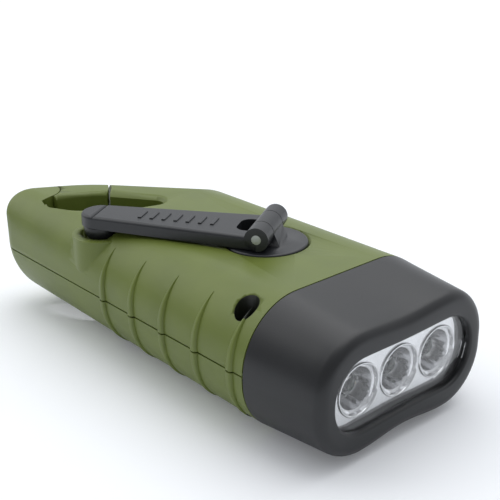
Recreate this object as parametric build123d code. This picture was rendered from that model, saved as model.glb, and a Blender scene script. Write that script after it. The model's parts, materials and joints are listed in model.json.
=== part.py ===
from build123d import *
import math
import os

# Hand crank flashlight, lying on its solar panel with the crank on top.
# Millimetres. +X points out of the lamp head, +Z up, the side with the crank knob is -Y.
# The origin is under the middle of the body, on the surface that the flashlight lies on.

# ---- body
BODY_WIDTH = 55.0
BODY_HEIGHT = 31.0
TAIL_X = -60.5
HEAD_X = 40.5
FRONT_X = 60.5
PARTING_Z = 16.2
WALL = 2.0
SIDE_RADIUS = 15.0
TAIL_TOP_RADIUS = 9.0
TAIL_BOTTOM_RADIUS = 18.0
PLAN_EDGE_RADIUS = 6.0
GROOVE_WIDTH = 0.35
GROOVE_DEPTH = 0.4

# ---- tail: the outline seen from above, and the carabiner loop
TAIL_CORNER_RADIUS = 8.0
BOW_UNDERCUT = 0.15
TAIL_SLOPE = 60.0
STRIP_SLOPE = 38.7
STRIP_BEND_Y = -2.1
STRIP_BEND_RADIUS = 40.0
FAR_CORNER_RADIUS = 14.0
LOOP_TAIL = (5.1, -4.4)
LOOP_FAR = (11.9, 12.1)
LOOP_FRONT = (32.9, 26.1)
LOOP_NEAR = (27.1, 7.5)
LOOP_LOW = (19.5, 0.6)
LOOP_TIP_RADIUS = 3.2
LOOP_BEND_RADIUS = 12.0
LOOP_EDGE = 1.2
GATE_REACH = 19.4
GATE_SLIT = 0.8
GATE_SWING = 27.0
GATE_FIRST_ANGLE = 14.0
GATE_LAST_ANGLE = 152.0
GATE_EAR_RADIUS = 6.5
GATE_ROOT_REACH = 9.2
GATE_KNUCKLE_RADIUS = 4.6
GATE_KNUCKLE_LOW = 11.5
GATE_EAR_THICKNESS = 6.0
GATE_PIN_RADIUS = 1.2
GATE_SPRING_RADIUS = 2.8
GATE_SPRING_HEIGHT = 3.0
GATE_PIN_BITE = 2.6
GATE_FLANK_GAP = 2.0

# ---- grip ribs
RIB_COUNT = 5
RIB_PITCH = 11.55
RIB_FIRST_X = -9.5
RIB_RISE = 0.7
RIB_WIDTH = 2.0
RIB_LOW_Z = 2.8
RIB_TOP_DROP = 2.6

# ---- clearances
RUNNING_GAP = 0.05
PART_GAP = 0.3
FIT_GAP = 0.1

# ---- crank
CRANK_X = 16.1
CRANK_Y = 1.5
CRANK_RADIUS = 41.4
KNOB_TO_SIDE = 7.06
DISC_RADIUS = 9.7
DISC_PROUD = 0.2
DISC_THICKNESS = 2.3
DISC_EDGE = 0.5
RECESS_RADIUS = 10.3
RECESS_WALL = 1.9
STEM_RADIUS = 3.0
STEM_FLAT = 2.3
BUSH_WALL = 1.4
BUSH_LENGTH = 2.6
HINGE_RADIUS = 2.8
HINGE_SPAN = 17.0
LUG_WIDTH = 7.2
LUG_BASE = 9.2
HINGE_PIN_RADIUS = 1.1
ARM_THICKNESS = 3.0
ARM_ROOT_WIDTH = 15.8
ARM_END_WIDTH = 9.4
ARM_SLOT_REACH = 6.6
ARM_SLOT_CORNER = 2.4
ARM_SIDE_GAP = 0.2
ARM_EDGE_RADIUS = 0.8
KNOB_RADIUS = 4.3
KNOB_HEIGHT = 4.9
KNOB_SCREW_RADIUS = 1.2
KNOB_SCREW_HEAD_RADIUS = 2.0
KNOB_SCREW_HEAD_HEIGHT = 1.2
KNOB_SCREW_RECESS = 0.6
KNOB_SCREW_BITE = 2.4
POCKET_RADIUS = 5.2
POCKET_FLOOR_GAP = 1.0
POCKET_WALL = 2.0
POCKET_RIM_DROP = 2.0
BULGE_LOW_Z = 17.6
BULGE_ROUND = 4.0

# ---- gear train, teeth with a 25 degree pressure angle
MODULE = 0.6
PRESSURE_ANGLE = 25.0
ADDENDUM = 0.8
DEDENDUM = 1.05
BACKLASH = 0.07
FLANK_STEPS = 3
GEAR_WIDTH = 2.4
GEAR_LAYER_GAP = 1.2
DRIVE_TEETH = 40
PINION_TEETH = 10
FIRST_TEETH = 36
SECOND_TEETH = 30
FIRST_GEAR_ANGLE = 155.0
SECOND_GEAR_ANGLE = 230.0
ROTOR_ANGLE = 345.0
GEAR_PIN_RADIUS = 1.0
GEAR_HUB_RADIUS = 2.1
GEAR_BOSS_RADIUS = 2.2
GEAR_PIN_BITE = 2.0
PLATE_THICKNESS = 1.5
PLATE_REAR_X = -19.0
PLATE_FRONT_X = 23.0
PLATE_WIDTH = 27.4
PLATE_CORNER = 3.0
PLATE_POST_INSET = 3.0
PLATE_POST_RADIUS = 2.6
SCREW_BITE = 2.2
SCREW_HEAD_THIN = 0.9

# ---- generator
ROTOR_SHAFT_RADIUS = 0.8
ROTOR_SHAFT_BITE = 1.0
MAGNET_RADIUS = 7.0
MAGNET_HEIGHT = 7.0
AIR_GAP = 0.5
CORE_WALL = 1.2
COIL_WALL = 1.8
COIL_HEIGHT = 6.4
STATOR_HEIGHT = 8.6

# ---- solar panel in the underside
PANEL_LENGTH = 40.0
PANEL_WIDTH = 22.0
PANEL_X = 2.0
PANEL_THICKNESS = 1.3
PANEL_COVER = 0.5
PANEL_RECESS = 0.4
PANEL_FLOOR = 1.4

# ---- button, board and battery
BUTTON_X = 31.1
BUTTON_LENGTH = 10.0
BUTTON_WIDTH = 6.4
BUTTON_RECESS = 0.3
BUTTON_FLANGE = 1.0
BUTTON_FLANGE_HEIGHT = 1.1
BUTTON_TRAVEL = 1.0
BOARD_LENGTH = 15.0
BOARD_WIDTH = 28.0
BOARD_FRONT_X = 38.6
BOARD_THICKNESS = 1.6
BOARD_Z = 7.8
SWITCH_SIZE = 6.0
SWITCH_HEIGHT = 3.0
PLUNGER_RADIUS = 1.6
CELL_RADIUS = 6.8
CELL_HEIGHT = 4.2
CLIP_WIDTH = 5.0
CLIP_THICKNESS = 0.4

# ---- case screws
SCREW_X = 35.3
SCREW_TO_SIDE = 6.2
REAR_SCREW_X = -12.0
REAR_SCREW_TO_SIDE = 9.9
SCREW_HEAD_RADIUS = 2.3
SCREW_HEAD_HEIGHT = 1.6
SCREW_RADIUS = 1.2
SCREW_LENGTH = 10.0
SCREW_WELL_RADIUS = 2.6
SCREW_BOSS_WALL = 1.0
SCREW_SEAT = 1.8

# ---- lamp head
FRONT_NARROWING = 4.8
FRONT_LOWERING = 4.0
FRONT_DROP = 0.5
FRONT_RADIUS = 12.0
RIM_RADIUS = 2.2
BEZEL_FACE = 4.5
SPIGOT_LENGTH = 1.4
SPIGOT_WALL = 1.4
LENS_WIDTH = 41.6
LENS_HEIGHT = 16.4
LENS_DEPTH = 1.3
LENS_THICKNESS = 1.5
LENS_LEDGE = 1.0
TUBE_WALL = 1.4
REFLECTOR_DEPTH = 9.6
CUP_PITCH = 12.1
CUP_RADIUS = 5.7
CUP_SEAT_RADIUS = 3.2
CUP_SEAT_DEPTH = 2.0
LED_RADIUS = 2.5
LED_LENGTH = 7.4
LED_FLANGE_RADIUS = 2.9
LED_FLANGE = 1.0
LED_BOARD_THICKNESS = 1.6


# ---- small shared helpers
def rod(x, y, low, high, radius):
    """An upright cylinder between two heights."""
    return Pos(x, y, (low + high) / 2) * Cylinder(radius, high - low)


def block(x0, x1, y0, y1, z0, z1):
    """A box given by its limits."""
    return Pos((x0 + x1) / 2, (y0 + y1) / 2, (z0 + z1) / 2) * Box(x1 - x0, y1 - y0, z1 - z0)


def raised(face, low, high):
    """A flat outline drawn up from one height to another."""
    return Pos(0, 0, low) * extrude(face, high - low, dir=(0, 0, 1))


def across(x, z=0.0):
    """A sketch plane that faces the lamp's front, with its own x along +Y."""
    return Plane(origin=(x, 0, z), x_dir=(0, 1, 0), z_dir=(1, 0, 0))


def rounded(sketch, corner, radius):
    """The sketch with the corner nearest a point rounded."""
    nearest = sketch.vertices().sort_by_distance((corner[0], corner[1], 0))[0]
    return fillet(nearest, radius)


def stadium(x0, x1, width, height):
    """A prism of stadium section that runs along X, centred on the lamp's front."""
    face = across(x0, FRONT_CENTRE_Z) * SlotOverall(width, height)
    return extrude(face, amount=x1 - x0, dir=(1, 0, 0))


# ---- outer form of the body
def body_section(x, inset, top_radius, bottom_radius):
    """The body's cross-section; only the near side grows squarer towards the tail."""
    width = BODY_WIDTH - 2 * inset
    height = BODY_HEIGHT - 2 * inset
    face = Rectangle(width, height)
    face = rounded(face, (-width / 2, height / 2), top_radius - inset)
    face = rounded(face, (-width / 2, -height / 2), bottom_radius - inset)
    face = rounded(face, (width / 2, height / 2), SIDE_RADIUS - inset)
    face = rounded(face, (width / 2, -height / 2), SIDE_RADIUS - inset)
    return across(x, BODY_HEIGHT / 2) * face


def body_bar(inset):
    """The long pillow-shaped bar that the body is cut from."""
    front = body_section(HEAD_X, inset, SIDE_RADIUS, SIDE_RADIUS)
    tail = body_section(TAIL_X, inset, TAIL_TOP_RADIUS, TAIL_BOTTOM_RADIUS)
    return loft([tail, front], ruled=True)


def slope(angle):
    """The run along X for each millimetre along Y, for an edge at this angle to X."""
    return 1 / math.tan(math.radians(angle))


def tail_corner():
    """Where the near side and the tail's slanted end would meet without their rounding."""
    reach = TAIL_CORNER_RADIUS * slope(TAIL_SLOPE / 2)
    return TAIL_X + TAIL_CORNER_RADIUS - reach, -BODY_WIDTH / 2


def plan_outline():
    """The body seen from above: a straight near side, a round tail and a slanted far side."""
    side = BODY_WIDTH / 2
    bend = (tail_corner()[0] + (STRIP_BEND_Y + side) * slope(TAIL_SLOPE), STRIP_BEND_Y)
    far_corner = (bend[0] + (side - STRIP_BEND_Y) * slope(STRIP_SLOPE), side)
    face = Polygon((FRONT_X, -side), (FRONT_X, side), far_corner, bend, tail_corner(), align=None)
    face = rounded(face, tail_corner(), TAIL_CORNER_RADIUS)
    face = rounded(face, bend, STRIP_BEND_RADIUS)
    return rounded(face, far_corner, FAR_CORNER_RADIUS)


BOW_RADIUS = TAIL_BOTTOM_RADIUS + (SIDE_RADIUS - TAIL_BOTTOM_RADIUS) * (
    TAIL_CORNER_RADIUS / (HEAD_X - TAIL_X)
)


def tail_bow(inset):
    """What stays above the large round foot under the tail's slanted end and near corner."""
    side, far = TAIL_CORNER_RADIUS - inset, 2 * (HEAD_X - TAIL_X)
    low, high = -1, BODY_HEIGHT + 1
    radius = BOW_RADIUS - inset + BOW_UNDERCUT
    middle = side - radius
    upper = Polygon((middle, BOW_RADIUS), (side, BOW_RADIUS), (side, high), (middle, high), align=None)
    quarter = Pos(middle, BOW_RADIUS) * Circle(radius)
    quarter &= Pos(side, BOW_RADIUS - radius) * Rectangle(2 * radius, 2 * radius)
    inner = Polygon((-far, low), (middle, low), (middle, high), (-far, high), align=None)
    profile = upper + quarter + inner
    corner = profile & Pos(side, 0) * Rectangle(2 * side, 2 * high)
    corner_low = corner.bounding_box().min.Y
    foot = profile & Rectangle(2 * far, 2 * corner_low)
    bow = extrude(Plane.YZ * profile, amount=far) + extrude(Plane.YZ * foot, amount=-far)
    bow += revolve(Plane.XZ * corner, Axis.Z)
    bow = Pos(PIVOT_X, PIVOT_Y, 0) * Rot(0, 0, TAIL_SLOPE) * bow
    return bow + sector(0, far, -90, TAIL_SLOPE - 90, corner_low, high)


def body_form(inset):
    """The whole outer form, or the same form drawn in by an inset."""
    outline = offset(plan_outline(), -inset) if inset > 0 else plan_outline()
    plan = raised(outline, inset, BODY_HEIGHT - inset)
    edge_radius = PLAN_EDGE_RADIUS - inset
    plan = fillet(plan.edges().group_by(Axis.Z)[-1], edge_radius)
    plan = fillet(plan.edges().group_by(Axis.Z)[0], edge_radius)
    return body_bar(inset) & plan & tail_bow(inset)


def ribs(side):
    """Slim grip ribs that follow the body's side and run out to points above and below."""
    high = BODY_HEIGHT - RIB_TOP_DROP
    middle, half = (RIB_LOW_Z + high) / 2, (high - RIB_LOW_Z) / 2
    sagitta = RIB_WIDTH / 2
    radius = (half**2 + sagitta**2) / (2 * sagitta)
    skin = body_bar(-RIB_RISE)
    group = Part()
    for number in range(RIB_COUNT):
        x = RIB_FIRST_X + number * RIB_PITCH
        lens = Pos(x - radius + sagitta, middle) * Circle(radius)
        lens &= Pos(x + radius - sagitta, middle) * Circle(radius)
        blade = Plane.XZ.offset(-side * BODY_WIDTH / 4) * lens
        group += extrude(blade, amount=BODY_WIDTH / 3, dir=(0, side, 0))
    return group & skin


# ---- carabiner loop and gate
PIVOT_X = TAIL_X + TAIL_CORNER_RADIUS
PIVOT_Y = -BODY_WIDTH / 2 + TAIL_CORNER_RADIUS


def loop_outline(grow=0.0):
    """The opening of the carabiner loop, placed from the gate's pivot."""
    corners = [LOOP_TAIL, LOOP_FAR, LOOP_FRONT, LOOP_NEAR, LOOP_LOW]
    radii = [LOOP_TIP_RADIUS, LOOP_BEND_RADIUS, LOOP_TIP_RADIUS, LOOP_BEND_RADIUS, LOOP_BEND_RADIUS]
    points = [(PIVOT_X + x, PIVOT_Y + y) for x, y in corners]
    face = Polygon(*points, align=None)
    for point, radius in zip(points, radii):
        face = rounded(face, point, radius)
    return offset(face, grow) if grow else face


def loop_opening(grow=0.0):
    """The opening as a cutter that runs past both faces of the body."""
    return raised(loop_outline(grow), -1, BODY_HEIGHT + 1)


def loop_bevels():
    """Soft edges around both mouths of the loop."""
    wide, narrow = loop_outline(LOOP_EDGE), Pos(0, 0, LOOP_EDGE) * loop_outline()
    mouth = loft([wide, narrow], ruled=True)
    return mouth + mirror(mouth, Plane.XY.offset(BODY_HEIGHT / 2))


def sector(inner, outer, first, last, low, high):
    """An upright piece of ring around the gate's pivot, between two angles."""
    start, end = math.radians(first), math.radians(last)
    middle = (start + end) / 2
    far = 4 * outer
    corners = [(far * math.cos(angle), far * math.sin(angle)) for angle in (start, middle, end)]
    wedge = Polygon((0, 0), *corners, align=None)
    ring = Circle(outer) & wedge
    if inner:
        ring -= Circle(inner)
    return Pos(PIVOT_X, PIVOT_Y, 0) * raised(ring, low, high)


GATE_KNUCKLE_HIGH = BODY_HEIGHT - GATE_EAR_THICKNESS
GATE_SPRING_LOW = GATE_KNUCKLE_LOW - GATE_SPRING_HEIGHT - PART_GAP


def gate_pocket():
    """What the shells leave free for the gate and its swing, and for its spring."""
    shut, last = GATE_FIRST_ANGLE - GATE_FLANK_GAP, GATE_LAST_ANGLE + GATE_FLANK_GAP
    swung = shut - GATE_SWING
    low, high = GATE_KNUCKLE_LOW - PART_GAP, GATE_KNUCKLE_HIGH + PART_GAP
    through = (-1, BODY_HEIGHT + 1)
    pocket = sector(GATE_EAR_RADIUS, GATE_REACH + GATE_SLIT, shut, last, *through)
    pocket += sector(GATE_EAR_RADIUS, GATE_ROOT_REACH, swung, last, *through)
    pocket += sector(0, GATE_EAR_RADIUS + 1, swung, last, low, high)
    pocket += rod(PIVOT_X, PIVOT_Y, low, high, GATE_KNUCKLE_RADIUS + PART_GAP)
    return pocket + rod(PIVOT_X, PIVOT_Y, GATE_SPRING_LOW, high, GATE_SPRING_RADIUS + PART_GAP)


def gate():
    """The sprung gate: half of the far strip, with a knuckle between the shells' ears."""
    neck = GATE_EAR_RADIUS + PART_GAP
    reach = sector(neck, GATE_REACH, GATE_FIRST_ANGLE, GATE_LAST_ANGLE, 0, BODY_HEIGHT)
    reach += sector(0, neck, GATE_FIRST_ANGLE, GATE_LAST_ANGLE, GATE_KNUCKLE_LOW, GATE_KNUCKLE_HIGH)
    body = (reach & body_form(0)) - loop_opening() - loop_bevels()
    body += rod(PIVOT_X, PIVOT_Y, GATE_KNUCKLE_LOW, GATE_KNUCKLE_HIGH, GATE_KNUCKLE_RADIUS)
    return body - rod(PIVOT_X, PIVOT_Y, -1, BODY_HEIGHT + 1, GATE_PIN_RADIUS + RUNNING_GAP)


GATE_PIN_LOW = GATE_SPRING_LOW - GATE_PIN_BITE
GATE_PIN_HIGH = GATE_KNUCKLE_HIGH + PART_GAP + GATE_PIN_BITE


def gate_pin():
    """The steel pin that the gate turns on, held in both shells."""
    return rod(PIVOT_X, PIVOT_Y, GATE_PIN_LOW, GATE_PIN_HIGH, GATE_PIN_RADIUS)


def gate_spring():
    """The coiled return spring around the pin, under the gate's knuckle."""
    ring = rod(PIVOT_X, PIVOT_Y, GATE_SPRING_LOW, GATE_KNUCKLE_LOW, GATE_SPRING_RADIUS)
    bore = GATE_PIN_RADIUS + PART_GAP
    return ring - rod(PIVOT_X, PIVOT_Y, GATE_SPRING_LOW, GATE_KNUCKLE_LOW, bore)


# ---- heights that the crank and the gear train share
DISC_TOP = BODY_HEIGHT + DISC_PROUD
DISC_BOTTOM = DISC_TOP - DISC_THICKNESS
RECESS_FLOOR = DISC_BOTTOM - PART_GAP - FIT_GAP
BUSH_TOP = DISC_BOTTOM - PART_GAP
BUSH_BOTTOM = BUSH_TOP - BUSH_LENGTH
DRIVE_TOP = BUSH_BOTTOM - PART_GAP
DRIVE_BOTTOM = DRIVE_TOP - GEAR_WIDTH
FIRST_TOP = DRIVE_BOTTOM - GEAR_LAYER_GAP
FIRST_BOTTOM = FIRST_TOP - GEAR_WIDTH
SECOND_TOP = FIRST_BOTTOM - GEAR_LAYER_GAP
SECOND_BOTTOM = SECOND_TOP - GEAR_WIDTH
PLATE_TOP = SECOND_BOTTOM - PART_GAP
PLATE_BOTTOM = PLATE_TOP - PLATE_THICKNESS
HINGE_Z = DISC_TOP + PART_GAP + HINGE_RADIUS
ARM_BOTTOM = HINGE_Z - HINGE_RADIUS
ARM_TOP = ARM_BOTTOM + ARM_THICKNESS
KNOB_TOP = ARM_BOTTOM - PART_GAP
KNOB_BOTTOM = KNOB_TOP - KNOB_HEIGHT
KNOB_Y = KNOB_TO_SIDE - BODY_WIDTH / 2
CRANK_ANGLE = 180 + math.degrees(math.asin((CRANK_Y - KNOB_Y) / CRANK_RADIUS))
KNOB_X = CRANK_X + CRANK_RADIUS * math.cos(math.radians(CRANK_ANGLE))
KNOB_SCREW_LOW = KNOB_BOTTOM + KNOB_SCREW_RECESS
KNOB_SEAT = KNOB_SCREW_LOW + KNOB_SCREW_HEAD_HEIGHT
POCKET_FLOOR = KNOB_BOTTOM - POCKET_FLOOR_GAP
POCKET_RIM_Z = BODY_HEIGHT - POCKET_RIM_DROP


def step_to(x, y, teeth, pinion, angle):
    """The centre of the gear that meshes with one at x, y, in a given direction."""
    reach = MODULE * (teeth + pinion) / 2
    return x + reach * math.cos(math.radians(angle)), y + reach * math.sin(math.radians(angle))


FIRST_X, FIRST_Y = step_to(CRANK_X, CRANK_Y, DRIVE_TEETH, PINION_TEETH, FIRST_GEAR_ANGLE)
SECOND_X, SECOND_Y = step_to(FIRST_X, FIRST_Y, FIRST_TEETH, PINION_TEETH, SECOND_GEAR_ANGLE)
ROTOR_X, ROTOR_Y = step_to(SECOND_X, SECOND_Y, SECOND_TEETH, PINION_TEETH, ROTOR_ANGLE)


# ---- crank, drawn at the origin with its arm along +X, then turned and moved into place
def on_crank(shape):
    """Moves a piece drawn around the crank's axis to where the crank lies folded."""
    return Pos(CRANK_X, CRANK_Y, 0) * Rot(0, 0, CRANK_ANGLE) * shape


def barrel(y0, y1, radius):
    """A cylinder along the hinge's axis."""
    shape = Cylinder(radius, y1 - y0)
    return Pos(0, (y0 + y1) / 2, HINGE_Z) * Rot(90, 0, 0) * shape


def crank_disc():
    """The disc in the top of the body, with the hinge lug above and the drive stem below."""
    disc = rod(0, 0, DISC_BOTTOM, DISC_TOP, DISC_RADIUS)
    disc = fillet(disc.edges().group_by(Axis.Z)[-1], DISC_EDGE)
    half = LUG_WIDTH / 2
    web = Polygon(
        (-LUG_BASE / 2, DISC_TOP - DISC_THICKNESS / 2),
        (LUG_BASE / 2, DISC_TOP - DISC_THICKNESS / 2),
        (HINGE_RADIUS, HINGE_Z),
        (-HINGE_RADIUS, HINGE_Z),
        align=None,
    )
    disc += extrude(Plane.XZ * web, amount=half, both=True)
    disc += barrel(-half, half, HINGE_RADIUS)
    disc += rod(0, 0, DRIVE_BOTTOM, DISC_BOTTOM, STEM_RADIUS) - drive_flats(STEM_RADIUS)
    disc -= barrel(-half, half, HINGE_PIN_RADIUS + RUNNING_GAP)
    return on_crank(disc - rod(0, 0, DRIVE_BOTTOM, DRIVE_BOTTOM + SCREW_BITE, SCREW_RADIUS))


def drive_flats(radius):
    """What is cut from both sides of the stem, so that the drive gear can't slip."""
    cut = block(STEM_FLAT, 2 * radius, -2 * radius, 2 * radius, DRIVE_BOTTOM - 1, DRIVE_TOP)
    return cut + mirror(cut, Plane.YZ)


def crank_bush():
    """The brass bearing that the stem turns in."""
    bush = rod(CRANK_X, CRANK_Y, BUSH_BOTTOM, BUSH_TOP, STEM_RADIUS + RUNNING_GAP + BUSH_WALL)
    return bush - rod(CRANK_X, CRANK_Y, BUSH_BOTTOM, BUSH_TOP, STEM_RADIUS + RUNNING_GAP)


def crank_screw():
    """The screw that holds the drive gear up against the stem's shoulder."""
    head = rod(CRANK_X, CRANK_Y, DRIVE_BOTTOM - SCREW_HEAD_THIN, DRIVE_BOTTOM, SCREW_HEAD_RADIUS)
    return head + rod(CRANK_X, CRANK_Y, DRIVE_BOTTOM, DRIVE_BOTTOM + SCREW_BITE, SCREW_RADIUS)


def arm_outline():
    """The arm seen from above: its long edges run into the round end without a corner."""
    root, tip = ARM_ROOT_WIDTH / 2, ARM_END_WIDTH / 2
    touch = math.pi - math.atan2(root, CRANK_RADIUS)
    touch -= math.acos(tip / math.hypot(root, CRANK_RADIUS))
    x, y = CRANK_RADIUS + tip * math.cos(touch), tip * math.sin(touch)
    return Polygon((0, -root), (0, root), (x, y), (x, -y), align=None) + (
        Pos(CRANK_RADIUS, 0) * Circle(tip)
    )


def crank_arm():
    """The folding arm: two knuckles at the hinge and a round end over the knob."""
    arm = raised(arm_outline(), ARM_BOTTOM, ARM_TOP)
    arm = fillet(arm.edges().group_by(Axis.Z)[-1], ARM_EDGE_RADIUS)
    arm += barrel(-HINGE_SPAN / 2, HINGE_SPAN / 2, HINGE_RADIUS)
    half = LUG_WIDTH / 2 + ARM_SIDE_GAP
    notch = Pos(ARM_SLOT_REACH - ARM_SLOT_CORNER, 0) * Rectangle(2 * ARM_SLOT_CORNER, 2 * half)
    notch = fillet(notch.vertices().group_by(Axis.X)[-1], ARM_SLOT_CORNER)
    notch += Pos(-HINGE_RADIUS, 0) * Rectangle(2 * ARM_SLOT_REACH, 2 * half)
    arm -= raised(notch, ARM_BOTTOM - 1, HINGE_Z + HINGE_RADIUS + 1)
    arm -= barrel(-HINGE_SPAN / 2, HINGE_SPAN / 2, HINGE_PIN_RADIUS)
    arm -= rod(CRANK_RADIUS, 0, ARM_BOTTOM, ARM_BOTTOM + KNOB_SCREW_BITE, KNOB_SCREW_RADIUS)
    return on_crank(arm)


def hinge_pin():
    """The steel pin through the hinge, tight in the arm's knuckles."""
    return on_crank(barrel(-HINGE_SPAN / 2, HINGE_SPAN / 2, HINGE_PIN_RADIUS))


def crank_knob():
    """The finger knob, a short round-ended sleeve that spins on its screw."""
    middle = KNOB_BOTTOM + KNOB_RADIUS
    ball = Pos(CRANK_RADIUS, 0, middle) * Sphere(KNOB_RADIUS)
    knob = ball & rod(CRANK_RADIUS, 0, KNOB_BOTTOM, middle, KNOB_RADIUS)
    knob += rod(CRANK_RADIUS, 0, middle, KNOB_TOP, KNOB_RADIUS)
    bore = KNOB_SCREW_HEAD_RADIUS + FIT_GAP
    knob -= rod(CRANK_RADIUS, 0, KNOB_BOTTOM - 1, KNOB_SEAT + FIT_GAP, bore)
    knob -= rod(CRANK_RADIUS, 0, KNOB_BOTTOM, KNOB_TOP, KNOB_SCREW_RADIUS + RUNNING_GAP)
    return on_crank(knob)


def knob_screw():
    """The shouldered screw that the knob spins on, driven up into the arm."""
    screw = rod(CRANK_RADIUS, 0, KNOB_SCREW_LOW, KNOB_SEAT, KNOB_SCREW_HEAD_RADIUS)
    screw += rod(CRANK_RADIUS, 0, KNOB_SEAT, ARM_BOTTOM + KNOB_SCREW_BITE, KNOB_SCREW_RADIUS)
    return on_crank(screw)


# ---- gears
def gear_face(teeth, turn):
    """A spur gear's outline, with one tooth pointing at the angle turn, in degrees."""
    pitch = MODULE * teeth / 2
    base = pitch * math.cos(math.radians(PRESSURE_ANGLE))
    tip = pitch + ADDENDUM * MODULE
    root = pitch - DEDENDUM * MODULE
    tilt = math.tan(math.radians(PRESSURE_ANGLE)) - math.radians(PRESSURE_ANGLE)
    half_tooth = math.pi / (2 * teeth) - BACKLASH / (2 * pitch) + tilt
    flank = [(root, half_tooth)]
    start = max(base, root)
    for step in range(FLANK_STEPS + 1):
        radius = start + (tip - start) * step / FLANK_STEPS
        roll = math.sqrt(max((radius / base) ** 2 - 1, 0))
        flank.append((radius, half_tooth - (roll - math.atan(roll))))
    points = []
    for number in range(teeth):
        centre = math.radians(turn) + 2 * math.pi * number / teeth
        rising = [(radius, centre - angle) for radius, angle in flank]
        falling = [(radius, centre + angle) for radius, angle in reversed(flank)]
        points += [(r * math.cos(a), r * math.sin(a)) for r, a in rising + falling]
    return make_face(Polyline(*points, close=True))


def meshed_turn(turn, teeth, pinion, angle):
    """The pinion's turn that sets it in mesh with a gear whose tooth points at turn."""
    return angle + 180 - 180 / pinion + (angle - turn) * teeth / pinion


def gear(x, y, teeth, turn, low, high):
    """A toothed slice of a gear between two heights."""
    return Pos(x, y, 0) * raised(gear_face(teeth, turn), low, high)


DRIVE_TURN = 0.0
FIRST_TURN = meshed_turn(DRIVE_TURN, DRIVE_TEETH, PINION_TEETH, FIRST_GEAR_ANGLE)
SECOND_TURN = meshed_turn(FIRST_TURN, FIRST_TEETH, PINION_TEETH, SECOND_GEAR_ANGLE)
ROTOR_TURN = meshed_turn(SECOND_TURN, SECOND_TEETH, PINION_TEETH, ROTOR_ANGLE)


def drive_gear():
    """The large gear on the crank's stem."""
    wheel = gear(CRANK_X, CRANK_Y, DRIVE_TEETH, DRIVE_TURN, DRIVE_BOTTOM, DRIVE_TOP)
    stem = rod(0, 0, DRIVE_BOTTOM, DRIVE_TOP, STEM_RADIUS) - drive_flats(STEM_RADIUS)
    return wheel - on_crank(stem)


def compound_gear(x, y, teeth, turn, low, high, hub_low):
    """A wheel with a pinion on top and a hub below, moulded as one, bored for its pin."""
    wheel = gear(x, y, teeth, turn, low, low + GEAR_WIDTH)
    wheel += gear(x, y, PINION_TEETH, turn, low + GEAR_WIDTH, high)
    if hub_low < low:
        wheel += rod(x, y, hub_low, low, GEAR_HUB_RADIUS)
    return wheel - rod(x, y, hub_low, high, GEAR_PIN_RADIUS + RUNNING_GAP)


def first_gear():
    """The first step-up gear, driven by the crank's gear."""
    hub_low = PLATE_TOP + FIT_GAP
    return compound_gear(FIRST_X, FIRST_Y, FIRST_TEETH, FIRST_TURN, FIRST_BOTTOM, DRIVE_TOP, hub_low)


def second_gear():
    """The second step-up gear, which drives the generator's pinion."""
    return compound_gear(
        SECOND_X, SECOND_Y, SECOND_TEETH, SECOND_TURN, SECOND_BOTTOM, FIRST_TOP, SECOND_BOTTOM
    )


FIRST_BOSS_LOW = DRIVE_TOP + PART_GAP
SECOND_BOSS_LOW = FIRST_TOP + PART_GAP


def gear_pins():
    """The two steel pins that the step-up gears turn on, from the plate up into their bosses."""
    first = rod(FIRST_X, FIRST_Y, PLATE_BOTTOM, FIRST_BOSS_LOW + GEAR_PIN_BITE, GEAR_PIN_RADIUS)
    second = rod(SECOND_X, SECOND_Y, PLATE_BOTTOM, SECOND_BOSS_LOW + GEAR_PIN_BITE, GEAR_PIN_RADIUS)
    return first + second


# ---- generator
PANEL_TOP = PANEL_RECESS + PANEL_COVER + PANEL_THICKNESS
FLOOR_TOP = PANEL_TOP + PANEL_FLOOR
MAGNET_HIGH = PLATE_BOTTOM - AIR_GAP
MAGNET_LOW = MAGNET_HIGH - MAGNET_HEIGHT
ROTOR_SEAT = FLOOR_TOP - ROTOR_SHAFT_BITE
CORE_RADIUS = MAGNET_RADIUS + AIR_GAP
STATOR_RADIUS = CORE_RADIUS + CORE_WALL


def rotor_shaft():
    """The generator's shaft with its pinion, in the plate's bearing and a seat in the floor."""
    shaft = rod(ROTOR_X, ROTOR_Y, ROTOR_SEAT + FIT_GAP, SECOND_BOTTOM, ROTOR_SHAFT_RADIUS)
    pinion = gear(ROTOR_X, ROTOR_Y, PINION_TEETH, ROTOR_TURN, SECOND_BOTTOM, SECOND_TOP)
    return shaft + pinion


def rotor_magnet():
    """The ring magnet pressed on the generator's shaft."""
    ring = rod(ROTOR_X, ROTOR_Y, MAGNET_LOW, MAGNET_HIGH, MAGNET_RADIUS)
    return ring - rod(ROTOR_X, ROTOR_Y, MAGNET_LOW, MAGNET_HIGH, ROTOR_SHAFT_RADIUS)


def stator_core():
    """The iron sleeve with end flanges that carries the winding."""
    low = PLATE_BOTTOM - STATOR_HEIGHT
    core = rod(ROTOR_X, ROTOR_Y, low, PLATE_BOTTOM, STATOR_RADIUS + COIL_WALL)
    coil_low = (low + PLATE_BOTTOM - COIL_HEIGHT) / 2
    core -= winding_space(coil_low)
    return core - rod(ROTOR_X, ROTOR_Y, low, PLATE_BOTTOM, CORE_RADIUS)


def winding_space(low):
    """The ring between the core's flanges."""
    ring = rod(ROTOR_X, ROTOR_Y, low, low + COIL_HEIGHT, STATOR_RADIUS + COIL_WALL)
    return ring - rod(ROTOR_X, ROTOR_Y, low, low + COIL_HEIGHT, STATOR_RADIUS)


def generator_coil():
    """The copper winding."""
    return winding_space(PLATE_BOTTOM - (STATOR_HEIGHT + COIL_HEIGHT) / 2)


# ---- gear plate
def plate_corners():
    """Where the gear plate is screwed to its posts."""
    xs = (PLATE_REAR_X + PLATE_POST_INSET, PLATE_FRONT_X - PLATE_POST_INSET)
    y = PLATE_WIDTH / 2 - PLATE_POST_INSET
    return [(x, side * y) for x in xs for side in (-1, 1)]


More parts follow.
